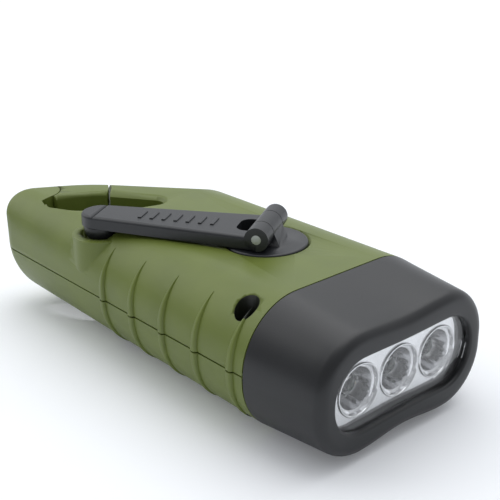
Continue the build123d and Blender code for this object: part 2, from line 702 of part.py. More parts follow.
def gear_plate():
    """The plate across the middle of the body that carries the pins and the generator."""
    centre = (PLATE_REAR_X + PLATE_FRONT_X) / 2
    outline = RectangleRounded(PLATE_FRONT_X - PLATE_REAR_X, PLATE_WIDTH, PLATE_CORNER)
    plate = Pos(centre, 0, 0) * raised(outline, PLATE_BOTTOM, PLATE_TOP)
    plate -= rod(FIRST_X, FIRST_Y, PLATE_BOTTOM, PLATE_TOP, GEAR_PIN_RADIUS)
    plate -= rod(SECOND_X, SECOND_Y, PLATE_BOTTOM, PLATE_TOP, GEAR_PIN_RADIUS)
    plate -= rod(ROTOR_X, ROTOR_Y, PLATE_BOTTOM, PLATE_TOP, ROTOR_SHAFT_RADIUS + RUNNING_GAP)
    for x, y in plate_corners():
        plate -= rod(x, y, PLATE_BOTTOM, PLATE_TOP, SCREW_RADIUS + FIT_GAP)
    return plate


def plate_screws():
    """The four screws that hold the gear plate down."""
    group = Part()
    for x, y in plate_corners():
        group += rod(x, y, PLATE_TOP, PLATE_TOP + SCREW_HEAD_THIN, SCREW_HEAD_RADIUS)
        group += rod(x, y, PLATE_BOTTOM - SCREW_BITE, PLATE_TOP, SCREW_RADIUS)
    return group


# ---- case screws: two from the top at the head, two from below at the tail
def front_screws():
    y = BODY_WIDTH / 2 - SCREW_TO_SIDE
    return [(SCREW_X, side * y) for side in (-1, 1)]


def rear_screws():
    y = BODY_WIDTH / 2 - REAR_SCREW_TO_SIDE
    return [(REAR_SCREW_X, side * y) for side in (-1, 1)]


FRONT_SEAT = PARTING_Z + SCREW_SEAT
REAR_SEAT = PARTING_Z - SCREW_SEAT


def case_screws():
    """The four self-tapping screws of the case."""
    group = Part()
    for x, y in front_screws():
        group += rod(x, y, FRONT_SEAT, FRONT_SEAT + SCREW_HEAD_HEIGHT, SCREW_HEAD_RADIUS)
        group += rod(x, y, FRONT_SEAT - SCREW_LENGTH, FRONT_SEAT, SCREW_RADIUS)
    for x, y in rear_screws():
        group += rod(x, y, REAR_SEAT - SCREW_HEAD_HEIGHT, REAR_SEAT, SCREW_HEAD_RADIUS)
        group += rod(x, y, REAR_SEAT, REAR_SEAT + SCREW_LENGTH, SCREW_RADIUS)
    return group


# ---- shells
SCREW_BOSS_RADIUS = SCREW_WELL_RADIUS + SCREW_BOSS_WALL


def case_blank():
    """Both shells in one: the outer form with its ribs, hollowed, with the loop cut out."""
    form = body_form(0) + ribs(-1) + ribs(1)
    bulge = rod(KNOB_X, KNOB_Y, BULGE_LOW_Z, POCKET_RIM_Z, POCKET_RADIUS + POCKET_WALL)
    form += fillet(bulge.edges().group_by(Axis.Z)[0], BULGE_ROUND)
    return form - loop_opening() - loop_bevels()


def case_cavity():
    """The hollow inside the body, kept clear of the loop and the gate."""
    solid_tail = rod(PIVOT_X, PIVOT_Y, -1, BODY_HEIGHT + 1, GATE_REACH + GATE_SLIT + WALL)
    return body_form(WALL) - loop_opening(WALL) - solid_tail


def above(low):
    """Everything over a height, as a cutter."""
    return block(TAIL_X - 5, HEAD_X + 5, -BODY_WIDTH, BODY_WIDTH, low, BODY_HEIGHT + 5)


def below(high):
    """Everything under a height, as a cutter."""
    return block(TAIL_X - 5, HEAD_X + 5, -BODY_WIDTH, BODY_WIDTH, -5, high)


def top_shell():
    """The upper shell, with the crank's recess, the knob's pocket and the gear bosses."""
    form = body_form(0)
    inside = rod(CRANK_X, CRANK_Y, RECESS_FLOOR - RECESS_WALL, BODY_HEIGHT, RECESS_RADIUS + WALL)
    inside += rod(FIRST_X, FIRST_Y, FIRST_BOSS_LOW, BODY_HEIGHT, GEAR_BOSS_RADIUS)
    inside += rod(SECOND_X, SECOND_Y, SECOND_BOSS_LOW, BODY_HEIGHT, GEAR_BOSS_RADIUS)
    pocket_low = POCKET_FLOOR - WALL
    inside += rod(KNOB_X, KNOB_Y, pocket_low, POCKET_RIM_Z, POCKET_RADIUS + POCKET_WALL)
    for x, y in front_screws():
        inside += rod(x, y, PARTING_Z, BODY_HEIGHT, SCREW_BOSS_RADIUS)
    for x, y in rear_screws():
        inside += rod(x, y, PARTING_Z, BODY_HEIGHT, SCREW_BOSS_RADIUS)
    shell = (case_blank() - case_cavity()) + (inside & form)
    shell -= gate_pocket()
    shell -= rod(CRANK_X, CRANK_Y, RECESS_FLOOR, BODY_HEIGHT + 1, RECESS_RADIUS)
    bush_radius = STEM_RADIUS + RUNNING_GAP + BUSH_WALL
    shell -= rod(CRANK_X, CRANK_Y, PARTING_Z, BODY_HEIGHT, bush_radius)
    shell -= rod(FIRST_X, FIRST_Y, PARTING_Z, FIRST_BOSS_LOW + GEAR_PIN_BITE, GEAR_PIN_RADIUS)
    shell -= rod(SECOND_X, SECOND_Y, PARTING_Z, SECOND_BOSS_LOW + GEAR_PIN_BITE, GEAR_PIN_RADIUS)
    shell -= rod(KNOB_X, KNOB_Y, POCKET_FLOOR, BODY_HEIGHT + 1, POCKET_RADIUS)
    for x, y in front_screws():
        shell -= rod(x, y, FRONT_SEAT, BODY_HEIGHT + 1, SCREW_WELL_RADIUS)
        shell -= rod(x, y, PARTING_Z - 1, FRONT_SEAT, SCREW_RADIUS + FIT_GAP)
    for x, y in rear_screws():
        shell -= rod(x, y, PARTING_Z - 1, REAR_SEAT + SCREW_LENGTH, SCREW_RADIUS)
    shell -= rod(PIVOT_X, PIVOT_Y, PARTING_Z, GATE_PIN_HIGH, GATE_PIN_RADIUS)
    shell -= seam_groove()
    return shell & above(PARTING_Z)


def seam_groove():
    """The fine line around the body where the shells meet."""
    low, high = PARTING_Z - 1, PARTING_Z + GROOVE_WIDTH
    band = block(TAIL_X - 5, HEAD_X + 5, -BODY_WIDTH, BODY_WIDTH, low, high)
    return band - body_form(GROOVE_DEPTH)


def bottom_shell():
    """The lower shell, with the solar panel's window, the button's hole and the inner posts."""
    form = body_form(0)
    panel = (PANEL_X - PANEL_LENGTH / 2, PANEL_X + PANEL_LENGTH / 2)
    half = PANEL_WIDTH / 2
    inside = block(panel[0] - WALL, panel[1] + WALL, -half - WALL, half + WALL, 0, FLOOR_TOP)
    inside += rod(ROTOR_X, ROTOR_Y, 0, FLOOR_TOP, GEAR_HUB_RADIUS)
    for x, y in plate_corners():
        inside += rod(x, y, 0, PLATE_BOTTOM, PLATE_POST_RADIUS)
    for x, y in front_screws():
        inside += rod(x, y, 0, PARTING_Z, SCREW_BOSS_RADIUS)
    for x, y in rear_screws():
        inside += rod(x, y, 0, PARTING_Z, SCREW_BOSS_RADIUS)
    for x, y in board_posts():
        inside += rod(x, y, 0, BOARD_Z, PLATE_POST_RADIUS)
    shell = (case_blank() - case_cavity()) + (inside & form)
    shell -= gate_pocket()
    shell -= block(*panel, -half, half, -1, PANEL_TOP)
    shell -= Pos(BUTTON_X, 0, 0) * raised(button_outline(FIT_GAP), -1, WALL)
    shell -= rod(ROTOR_X, ROTOR_Y, ROTOR_SEAT, FLOOR_TOP, ROTOR_SHAFT_RADIUS + RUNNING_GAP)
    for x, y in plate_corners():
        shell -= rod(x, y, PLATE_BOTTOM - SCREW_BITE, PLATE_BOTTOM, SCREW_RADIUS)
    for x, y in front_screws():
        shell -= rod(x, y, FRONT_SEAT - SCREW_LENGTH, PARTING_Z, SCREW_RADIUS)
    for x, y in rear_screws():
        shell -= rod(x, y, -1, REAR_SEAT, SCREW_WELL_RADIUS)
        shell -= rod(x, y, REAR_SEAT, PARTING_Z, SCREW_RADIUS + FIT_GAP)
    for x, y in board_posts():
        shell -= rod(x, y, BOARD_Z - SCREW_BITE, BOARD_Z, SCREW_RADIUS)
    shell -= rod(PIVOT_X, PIVOT_Y, GATE_PIN_LOW, PARTING_Z, GATE_PIN_RADIUS)
    return shell & below(PARTING_Z)


# ---- solar panel
def panel_slab(low, thickness):
    half = PANEL_LENGTH / 2 - FIT_GAP
    side = PANEL_WIDTH / 2 - FIT_GAP
    return block(PANEL_X - half, PANEL_X + half, -side, side, low, low + thickness)


def solar_panel():
    """The solar cells on their board."""
    return panel_slab(PANEL_RECESS + PANEL_COVER, PANEL_THICKNESS)


def panel_cover():
    """The clear cover over the cells."""
    return panel_slab(PANEL_RECESS, PANEL_COVER)


# ---- button, board and battery
def button_outline(grow=0.0):
    return SlotOverall(BUTTON_LENGTH + 2 * grow, BUTTON_WIDTH + 2 * grow)


BUTTON_TOP = WALL + BUTTON_FLANGE_HEIGHT
SWITCH_LOW = BOARD_Z - SWITCH_HEIGHT
BOARD_X = BOARD_FRONT_X - BOARD_LENGTH / 2


def power_button():
    """The push button in the underside, kept in by its flange."""
    cap = raised(button_outline(), BUTTON_RECESS, BUTTON_TOP)
    flange = raised(button_outline(BUTTON_FLANGE), WALL, BUTTON_TOP)
    return Pos(BUTTON_X, 0, 0) * (cap + flange)


def tact_switch():
    """The click switch on the underside of the board, over the button."""
    half = SWITCH_SIZE / 2
    body = block(BUTTON_X - half, BUTTON_X + half, -half, half, SWITCH_LOW, BOARD_Z)
    return body + rod(BUTTON_X, 0, BUTTON_TOP + BUTTON_TRAVEL + FIT_GAP, SWITCH_LOW, PLUNGER_RADIUS)


def board_posts():
    """Where the main board is screwed down."""
    x = BOARD_FRONT_X - PLATE_POST_RADIUS
    y = BOARD_WIDTH / 2 - PLATE_POST_RADIUS
    return [(x, y), (x, -y)]


def main_board():
    """The circuit board that carries the switch and the battery."""
    half = BOARD_WIDTH / 2
    rear = BOARD_FRONT_X - BOARD_LENGTH
    board = block(rear, BOARD_FRONT_X, -half, half, BOARD_Z, BOARD_Z + BOARD_THICKNESS)
    for x, y in board_posts():
        board -= rod(x, y, BOARD_Z, BOARD_Z + BOARD_THICKNESS, SCREW_RADIUS + FIT_GAP)
    return board


def board_screws():
    """The two screws of the main board."""
    group = Part()
    top = BOARD_Z + BOARD_THICKNESS
    for x, y in board_posts():
        group += rod(x, y, top, top + SCREW_HEAD_THIN, SCREW_HEAD_RADIUS)
        group += rod(x, y, BOARD_Z - SCREW_BITE, top, SCREW_RADIUS)
    return group


CELL_LOW = BOARD_Z + BOARD_THICKNESS


def battery_cell():
    """The rechargeable button cell that the generator and the solar panel charge."""
    return rod(BOARD_X, 0, CELL_LOW, CELL_LOW + CELL_HEIGHT, CELL_RADIUS)


def battery_clip():
    """The spring-steel strap over the cell."""
    top = CELL_LOW + CELL_HEIGHT
    half = CLIP_WIDTH / 2
    reach = CELL_RADIUS + FIT_GAP
    strap = block(BOARD_X - half, BOARD_X + half, -reach, reach, top, top + CLIP_THICKNESS)
    leg_top = top + CLIP_THICKNESS
    leg = block(BOARD_X - half, BOARD_X + half, reach, reach + CLIP_THICKNESS, CELL_LOW, leg_top)
    return strap + leg + mirror(leg, Plane.XZ)


# ---- lamp head
FRONT_WIDTH = BODY_WIDTH - FRONT_NARROWING
FRONT_HEIGHT = BODY_HEIGHT - FRONT_LOWERING
FRONT_CENTRE_Z = BODY_HEIGHT / 2 - FRONT_DROP
LENS_FRONT = FRONT_X - LENS_DEPTH
LENS_BACK = LENS_FRONT - LENS_THICKNESS
REFLECTOR_BACK = LENS_BACK - REFLECTOR_DEPTH
SEAT_WIDTH = LENS_WIDTH + 2 * LENS_LEDGE
SEAT_HEIGHT = LENS_HEIGHT + 2 * LENS_LEDGE
LED_BOARD_BACK = REFLECTOR_BACK - LED_BOARD_THICKNESS


def head_section(x, width, height, radius, centre, inset):
    face = RectangleRounded(width - 2 * inset, height - 2 * inset, radius - inset)
    return across(x, centre) * face


def head_form(front, inset):
    """The head's outer form, from the body's section to the smaller front."""
    share = (front - HEAD_X) / (FRONT_X - HEAD_X)

    def between(a, b):
        return a + (b - a) * share

    rear = head_section(HEAD_X, BODY_WIDTH, BODY_HEIGHT, SIDE_RADIUS, BODY_HEIGHT / 2, inset)
    face = head_section(
        front,
        between(BODY_WIDTH, FRONT_WIDTH),
        between(BODY_HEIGHT, FRONT_HEIGHT),
        between(SIDE_RADIUS, FRONT_RADIUS),
        between(BODY_HEIGHT / 2, FRONT_CENTRE_Z),
        inset,
    )
    return loft([rear, face], ruled=True)


def spigot():
    """The collar that plugs the head into the shells."""
    outer = head_section(
        HEAD_X - SPIGOT_LENGTH, BODY_WIDTH, BODY_HEIGHT, SIDE_RADIUS, BODY_HEIGHT / 2, WALL + FIT_GAP
    )
    inner = head_section(
        HEAD_X - SPIGOT_LENGTH,
        BODY_WIDTH,
        BODY_HEIGHT,
        SIDE_RADIUS,
        BODY_HEIGHT / 2,
        WALL + FIT_GAP + SPIGOT_WALL,
    )
    return extrude(outer - inner, amount=SPIGOT_LENGTH + WALL, dir=(1, 0, 0))


def bezel():
    """The black head: a tapered ring with a round rim, and a tube inside for the optics."""
    ring = head_form(FRONT_X, 0)
    ring = fillet(ring.edges().group_by(Axis.X)[-1], RIM_RADIUS)
    ring -= head_form(FRONT_X - BEZEL_FACE, WALL)
    ring += spigot()
    tube_width, tube_height = SEAT_WIDTH + 2 * TUBE_WALL, SEAT_HEIGHT + 2 * TUBE_WALL
    ring += stadium(LED_BOARD_BACK, FRONT_X - BEZEL_FACE, tube_width, tube_height)
    ring -= stadium(HEAD_X - SPIGOT_LENGTH, LENS_FRONT, SEAT_WIDTH, SEAT_HEIGHT)
    return ring - stadium(LENS_FRONT, FRONT_X + 1, LENS_WIDTH, LENS_HEIGHT)


def lens():
    """The clear front window, seated behind the bezel's lip."""
    return stadium(LENS_BACK, LENS_FRONT, SEAT_WIDTH - 2 * FIT_GAP, SEAT_HEIGHT - 2 * FIT_GAP)


def cup_places():
    return [-CUP_PITCH, 0, CUP_PITCH]


def along(x0, x1, y, radius):
    """A cylinder along X at the head's mid height."""
    shape = Cylinder(radius, x1 - x0)
    return Pos((x0 + x1) / 2, y, FRONT_CENTRE_Z) * Rot(0, 90, 0) * shape


def reflector():
    """The chromed block with a tapered cup for each lamp."""
    block_ = stadium(
        REFLECTOR_BACK, LENS_BACK, SEAT_WIDTH - 2 * FIT_GAP, SEAT_HEIGHT - 2 * FIT_GAP
    )
    cup_depth = REFLECTOR_DEPTH - CUP_SEAT_DEPTH
    for y in cup_places():
        cup = Cone(CUP_SEAT_RADIUS, CUP_RADIUS, cup_depth)
        block_ -= Pos(LENS_BACK - cup_depth / 2, y, FRONT_CENTRE_Z) * Rot(0, 90, 0) * cup
        block_ -= along(REFLECTOR_BACK, LENS_BACK - cup_depth, y, CUP_SEAT_RADIUS)
    return block_


def led(y):
    """One 5 mm lamp: a flange on the board, a straight body and a dome."""
    dome = REFLECTOR_BACK + LED_LENGTH - LED_RADIUS
    lamp = along(REFLECTOR_BACK, REFLECTOR_BACK + LED_FLANGE, y, LED_FLANGE_RADIUS)
    lamp += along(REFLECTOR_BACK, dome, y, LED_RADIUS)
    return lamp + Pos(dome, y, FRONT_CENTRE_Z) * Sphere(LED_RADIUS)


def led_board():
    """The board that carries the three lamps, closing the back of the optics."""
    width, height = SEAT_WIDTH - 2 * FIT_GAP, SEAT_HEIGHT - 2 * FIT_GAP
    return stadium(LED_BOARD_BACK, REFLECTOR_BACK, width, height)


# ---- write every piece
def pieces():
    named = {
        "top_shell": top_shell(),
        "bottom_shell": bottom_shell(),
        "case_screws": case_screws(),
        "bezel": bezel(),
        "lens": lens(),
        "reflector": reflector(),
        "led_board": led_board(),
        "solar_panel": solar_panel(),
        "panel_cover": panel_cover(),
        "power_button": power_button(),
        "tact_switch": tact_switch(),
        "main_board": main_board(),
        "board_screws": board_screws(),
        "battery_cell": battery_cell(),
        "battery_clip": battery_clip(),
        "gear_plate": gear_plate(),
        "plate_screws": plate_screws(),
        "gear_pins": gear_pins(),
        "crank_bush": crank_bush(),
        "crank_disc": crank_disc(),
        "drive_gear": drive_gear(),
        "crank_screw": crank_screw(),
        "crank_arm": crank_arm(),
        "hinge_pin": hinge_pin(),
        "crank_knob": crank_knob(),
        "knob_screw": knob_screw(),
        "first_gear": first_gear(),
        "second_gear": second_gear(),
        "rotor_shaft": rotor_shaft(),
        "rotor_magnet": rotor_magnet(),
        "stator_core": stator_core(),
        "generator_coil": generator_coil(),
        "gate": gate(),
        "gate_pin": gate_pin(),
        "gate_spring": gate_spring(),
    }
    for number, y in enumerate(cup_places(), start=1):
        named[f"led_{number}"] = led(y)
    return named


def write_pieces():
    os.makedirs("parts", exist_ok=True)
    for name, shape in pieces().items():
        export_step(shape, f"parts/{name}.step")


if __name__ == "__main__":
    write_pieces()
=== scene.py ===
# %% [markdown]
# # A hand crank flashlight
#
# The real object is an olive plastic flashlight that lies on its solar side. A black crank is
# folded over its top, its tail is a carabiner loop with a sprung gate, and three small LEDs sit
# behind a clear window in a black head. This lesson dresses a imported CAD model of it: the CAD
# gives every size and every joint, and Blender gives the surfaces that the eye meets.
#
# The first cell loads the CAD as a fixed frame. Nothing in it is moved. A piece whose CAD mesh
# is good gets a finish, and a piece that needs a finer shape is made here and stands for it.

# %% Load the frame
import math

import bmesh
import bpy
from mathutils import Matrix, Vector
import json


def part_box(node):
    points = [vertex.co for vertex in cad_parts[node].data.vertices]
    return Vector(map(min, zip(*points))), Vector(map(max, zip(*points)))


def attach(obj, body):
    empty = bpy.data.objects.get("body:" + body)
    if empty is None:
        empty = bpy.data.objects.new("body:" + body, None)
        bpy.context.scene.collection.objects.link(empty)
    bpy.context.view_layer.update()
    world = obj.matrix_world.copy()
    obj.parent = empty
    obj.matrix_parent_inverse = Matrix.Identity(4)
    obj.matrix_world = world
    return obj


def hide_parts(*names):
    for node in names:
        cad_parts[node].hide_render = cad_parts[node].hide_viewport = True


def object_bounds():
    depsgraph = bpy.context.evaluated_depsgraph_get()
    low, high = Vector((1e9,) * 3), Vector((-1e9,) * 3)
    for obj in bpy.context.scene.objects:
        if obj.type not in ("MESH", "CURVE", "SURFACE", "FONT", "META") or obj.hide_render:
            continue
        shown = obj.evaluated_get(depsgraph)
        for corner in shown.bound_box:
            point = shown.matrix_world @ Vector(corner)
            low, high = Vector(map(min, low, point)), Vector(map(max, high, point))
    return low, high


MM = 0.001
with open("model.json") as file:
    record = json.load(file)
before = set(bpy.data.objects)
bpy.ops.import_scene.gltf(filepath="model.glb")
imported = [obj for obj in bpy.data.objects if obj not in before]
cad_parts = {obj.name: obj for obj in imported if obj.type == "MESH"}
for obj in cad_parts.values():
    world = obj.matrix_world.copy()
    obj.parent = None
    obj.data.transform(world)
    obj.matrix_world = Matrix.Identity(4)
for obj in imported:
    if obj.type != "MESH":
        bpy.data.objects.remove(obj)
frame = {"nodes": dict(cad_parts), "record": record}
CAD_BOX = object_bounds()


def span(node, axis):
    """A node's lowest and highest place along x, y or z, in millimetres."""
    return [round(corner["xyz".index(axis)] / MM, 2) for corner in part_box(node)]


print("CAD box in mm:", [[round(value / MM, 1) for value in corner] for corner in CAD_BOX])

# %% [markdown]
# ## Shader sums as plain Python
#
# Every finish below is a node tree. Wiring each Math node by hand hides the idea, so one small
# class wraps a socket and overloads the operators: `1 - mask * 0.2` then adds its two Math
# nodes by itself. All other nodes come from one method, which sets a node's own settings first
# and then its sockets.

# %% A socket that can be added and multiplied
class Value:
    """The output of a node, which takes part in sums."""

    def __init__(self, finish, socket):
        self.finish = finish
        self.socket = socket

    def sum(self, operation, first, second):
        """A Math node on two sockets or numbers."""
        return self.finish.add("ShaderNodeMath", {"operation": operation}, {0: first, 1: second})

    def __add__(self, other):
        return self.sum("ADD", self, other)

    def __sub__(self, other):
        return self.sum("SUBTRACT", self, other)

    def __rsub__(self, other):
        return self.sum("SUBTRACT", other, self)

    def __mul__(self, other):
        return self.sum("MULTIPLY", self, other)

    __radd__ = __add__
    __rmul__ = __mul__


# %% A tree of nodes
class Tree:
    """A node tree that adds every node in the same way."""

    def add(self, kind, settings=None, values=None, out=0):
        """Adds a node: its settings first, then its sockets' values or links."""
        node = self.tree.nodes.new(kind)
        for setting, value in (settings or {}).items():
            if setting == "stops":
                self.set_stops(node.color_ramp, value)
            else:
                setattr(node, setting, value)
        for socket, value in (values or {}).items():
            self.give(node.inputs[socket], value)
        return Value(self, node.outputs[out])

    def give(self, socket, value):
        """Sets a socket to a number, links it to a value, or links it to each of a list."""
        if isinstance(value, list):
            for part in value:
                self.give(socket, part)
        elif isinstance(value, Value):
            self.tree.links.new(value.socket, socket)
        else:
            socket.default_value = value

    def set_stops(self, ramp, stops):
        while len(ramp.elements) < len(stops):
            ramp.elements.new(1.0)
        for element, (place, shade) in zip(ramp.elements, stops):
            element.position = place
            element.color = (shade, shade, shade, 1.0)


# %% A finish
class Finish(Tree):
    """A material built around one Principled shader."""

    def __init__(self, name, **fixed):
        self.material = bpy.data.materials.new(name)
        self.material.use_nodes = True
        self.tree = self.material.node_tree
        self.shader = self.tree.nodes["Principled BSDF"]
        for socket, value in fixed.items():
            self.shader.inputs[socket.replace("_", " ")].default_value = value

    def feed(self, **links):
        """Links values to the shader's sockets, named with underscores for spaces."""
        for socket, value in links.items():
            self.give(self.shader.inputs[socket.replace("_", " ")], value)


# %% [markdown]
# ## Patterns that stay on the object
#
# Moulded plastic is never one flat colour. It has a fine spark-eroded grain, faint cloudy
# patches where the melt flowed, and a sheen that changes a little from place to place. All the
# patterns read Object coordinates, in metres, so they stay on a piece when its joint turns.

# %% Pattern helpers
MEAN = 0.5  # of every random pattern


def place(finish):
    """Where on the piece a point is, in metres."""
    return finish.add("ShaderNodeTexCoord", out="Object")


def clouds(finish, size, detail=2.0, roughness=0.5):
    """Soft random patches of about this size in metres, from 0 to 1."""
    return finish.add("ShaderNodeTexNoise", values={
        "Vector": place(finish), "Scale": 1 / size, "Detail": detail, "Roughness": roughness})


def ramp(finish, source, *stops):
    """Redraws a 0 to 1 pattern through (place, shade) stops."""
    return finish.add("ShaderNodeValToRGB", {"stops": stops}, {"Fac": source})


def mixed(finish, share, first, second):
    """A colour between two colours."""
    values = {0: share, 6: first, 7: second}
    return finish.add("ShaderNodeMix", {"data_type": "RGBA"}, values, out=2)


def raised(finish, pattern, height):
    """Makes a pattern a relief of this height in metres."""
    return finish.add("ShaderNodeBump", values={"Distance": height, "Height": pattern})


def shade(red, green, blue):
    """A linear colour from the 0 to 255 values that a screen shows."""
    linear = []
    for value in (red / 255, green / 255, blue / 255):
        linear.append(value / 12.92 if value <= 0.04045 else ((value + 0.055) / 1.055) ** 2.4)
    return (*linear, 1.0)


print("a middle grey on the screen is", [round(part, 3) for part in shade(128, 128, 128)])


# %% [markdown]
# ## The finishes
#
# One function makes every moulded plastic. It takes two near shades, the gloss and the size of
# the grain. The grain is a relief of about a hundredth of a millimetre. It breaks up the
# highlight without being seen as bumps. A flat colour would do from afar, but near by it looks
# like paint on glass.
#
# The front screws sit in two deep, narrow wells. Hardly any light comes back out of them, so a
# painted shade darkens the green finish inside a well's radius.

# %% The wells' painted shade
WELL_X, WELL_Y, WELL_REACH = 35.3, 21.3, 2.63
# The colour of the painted shade deep in the wells.
WELL_SHADE = (0.012, 0.014, 0.008, 1.0)


def vectors(finish, operation, first, second=(0, 0, 0), out=0):
    """A sum on two vectors."""
    settings = {"operation": operation}
    return finish.add("ShaderNodeVectorMath", settings, {0: first, 1: second}, out)


def painted_well_shade_mask(finish):
    """Where the painted shade goes: 1 inside the two upright wells, which mirror each other across
    the middle, or else 0.
    """
    moved = vectors(finish, "SUBTRACT", place(finish), (WELL_X * MM, 0, 0))
    flat = vectors(finish, "MULTIPLY", moved, (1, 1, 0))
    folded = vectors(finish, "ABSOLUTE", flat)
    away = vectors(finish, "DISTANCE", folded, (0, WELL_Y * MM, 0), out=1)
    return away.sum("LESS_THAN", away, WELL_REACH * MM)


print("wells at", WELL_X, "mm, each", WELL_Y, "mm from the middle")

# %% Moulded plastics
PATCH_SIZE, PATCH_START, PATCH_END = 0.014, 0.35, 0.65
GRAIN_SIZE, GRAIN_HEIGHT = 0.00022, 0.000012
PATCH_SHEEN, GRAIN_SHEEN = 0.09, 0.10


def moulded(name, light, dark, gloss, grain=GRAIN_SIZE, wells=False):
    """Moulded plastic with a fine grain, cloudy patches and an uneven sheen."""
    finish = Finish(name)
    patches = clouds(finish, PATCH_SIZE, detail=3.0)
    fine = clouds(finish, grain, roughness=0.6)
    share = ramp(finish, patches, (PATCH_START, 0.0), (PATCH_END, 1.0))
    colour = mixed(finish, share, dark, light)
    # Painted shade: the colour turns dark inside the wells, where little light comes back out.
    if wells:
        colour = mixed(finish, painted_well_shade_mask(finish), colour, WELL_SHADE)
    finish.feed(
        Base_Color=colour,
        Roughness=gloss + (patches - MEAN) * PATCH_SHEEN + (fine - MEAN) * GRAIN_SHEEN,
        Normal=raised(finish, fine, GRAIN_HEIGHT),
    )
    return finish.material


OLIVE = moulded("olive_plastic", shade(106, 119, 50), shade(99, 112, 45), gloss=0.42, wells=True)
HEAD_BLACK = moulded("head_plastic", shade(31, 32, 34), shade(27, 28, 30), gloss=0.36)
CRANK_BLACK = moulded("crank_plastic", shade(36, 38, 41), shade(31, 33, 36), gloss=0.36)
GEAR_WHITE = moulded("gear_plastic", shade(226, 223, 212), shade(218, 214, 200), gloss=0.4)
INNER_BLACK = moulded("inner_plastic", shade(40, 40, 42), shade(34, 34, 36), gloss=0.5)
BUTTON_RUBBER = moulded(
    "button_rubber", shade(44, 44, 46), shade(38, 38, 40), gloss=0.7, grain=0.0003)
print("plastics:", [material.name for material in bpy.data.materials if material.use_nodes])

# %% Metals
MARK_SIZE, MARK_SHEEN = 0.0004, 0.12
DULLED = 0.86


def metal(name, tint, gloss, mark=MARK_SIZE, purity=1.0):
    """Metal with fine marks. Below a purity of 1 it scatters some light, as paint does."""
    finish = Finish(name, Metallic=purity)
    marks = clouds(finish, mark, detail=3.0, roughness=0.7)
    dull = (*(DULLED * part for part in tint[:3]), 1.0)
    finish.feed(Base_Color=mixed(finish, marks, tint, dull),
                Roughness=gloss + (marks - MEAN) * MARK_SHEEN)
    return finish.material


STEEL = metal("plated_steel", shade(186, 188, 190), gloss=0.32)
BLACK_STEEL = metal("black_steel", shade(62, 62, 64), gloss=0.4)
BRASS = metal("brass", shade(198, 168, 104), gloss=0.3)
CHROME = metal("chrome", shade(252, 252, 253), gloss=0.08, mark=0.003, purity=0.85)
COPPER = metal("enamelled_copper", shade(176, 104, 58), gloss=0.35)
FERRITE = moulded("ferrite", shade(62, 62, 65), shade(54, 54, 58), gloss=0.55)
print("finishes so far:", len(bpy.data.materials))

# %% Clear and coated parts
SMEAR_SIZE, SMEAR_SHEEN = 0.009, 0.02
NO_TINT = (1.0, 1.0, 1.0, 1.0)


def clear(name, tint, gloss, bending=1.45):
    """Clear plastic that lets light through and bends it by this index."""
    finish = Finish(name, IOR=bending, Transmission_Weight=1.0)
    smears = clouds(finish, SMEAR_SIZE)
    finish.feed(Base_Color=mixed(finish, smears, tint, NO_TINT),
                Roughness=gloss + smears * SMEAR_SHEEN)
    return finish.material


WINDOW = clear("clear_window", (0.96, 0.975, 0.985, 1.0), gloss=0.02)
EPOXY = clear("led_epoxy", (0.97, 0.97, 0.95, 1.0), gloss=0.03, bending=1.5)
SOLDER_MASK = moulded("solder_mask", shade(30, 92, 54), shade(24, 80, 46), gloss=0.3)
CELL_BLUE = moulded("solar_cell", shade(28, 34, 66), shade(20, 25, 52), gloss=0.2)
print("finishes in all:", len(bpy.data.materials))

# %% [markdown]
# ## Dress the CAD
#
# Gears, screws, boards and the generator are plain enough as the CAD has them. The record says
# which slot each node has, so one table from slot to finish dresses all of them, and a node that
# is added later is dressed too. The nodes that are drawn anew below get the same finishes.

# %% Give every node its finish
FINISHES = {
    "shell_green": OLIVE, "head_black": HEAD_BLACK, "crank_black": CRANK_BLACK,
    "lens_clear": WINDOW, "reflector_chrome": CHROME, "led_clear": EPOXY,
    "board_green": SOLDER_MASK, "solar_cells": CELL_BLUE, "cover_clear": WINDOW,
    "button_rubber": BUTTON_RUBBER, "switch_black": INNER_BLACK, "steel": STEEL,
    "screw_black": BLACK_STEEL, "brass": BRASS, "gear_white": GEAR_WHITE,
    "magnet_dark": FERRITE, "coil_copper": COPPER, "plate_black": INNER_BLACK,
}
SLOT_OF = {row["node"]: row["material_slot"] for row in frame["record"]["subparts"]}
for node, slot in SLOT_OF.items():
    mesh = frame["nodes"][node].data
    mesh.materials.clear()
    mesh.materials.append(FINISHES[slot])
print("nodes dressed:", len(SLOT_OF))

# %% [markdown]
# ## The body's sides
#
# The body's section is a rectangle with large roundings, and on the near side they change from
# the tail to the head. One function gives the side's surface at any place. It serves twice: the
# CAD's ribs, which are cut in fine steps and would shade like a saw, are pressed back into the
# side, and smooth half-round ribs are drawn on it again further down.

# %% The side's surface, in millimetres
TAIL_REAR = round(CAD_BOX[0][0] / MM, 2)
HEAD_REAR = span("top_shell", "x")[1]
COLLAR_REAR, HEAD_FRONT = span("bezel", "x")
BODY_WIDTH, BODY_HEIGHT = 2 * span("bezel", "y")[1], span("bezel", "z")[1]
PARTING = span("bottom_shell", "z")[1]
BODY_RADIUS = 15.0  # of the far side, and of both sides at the head
NEAR_TOP_RADIUS, NEAR_LOW_RADIUS = 9.0, 18.0  # of the near side at the tail
RIB_ZONE = (-11.0, 38.5)


def side_roundings(x, side):
    """The side's upper and lower rounding as (radius, centre y, centre z)."""
    share = (x - TAIL_REAR) / (HEAD_REAR - TAIL_REAR) if side < 0 else 1
    top, low = (tail + (BODY_RADIUS - tail) * share for tail in (NEAR_TOP_RADIUS, NEAR_LOW_RADIUS))
    half = BODY_WIDTH / 2
    return (top, side * (half - top), BODY_HEIGHT - top), (low, side * (half - low), low)


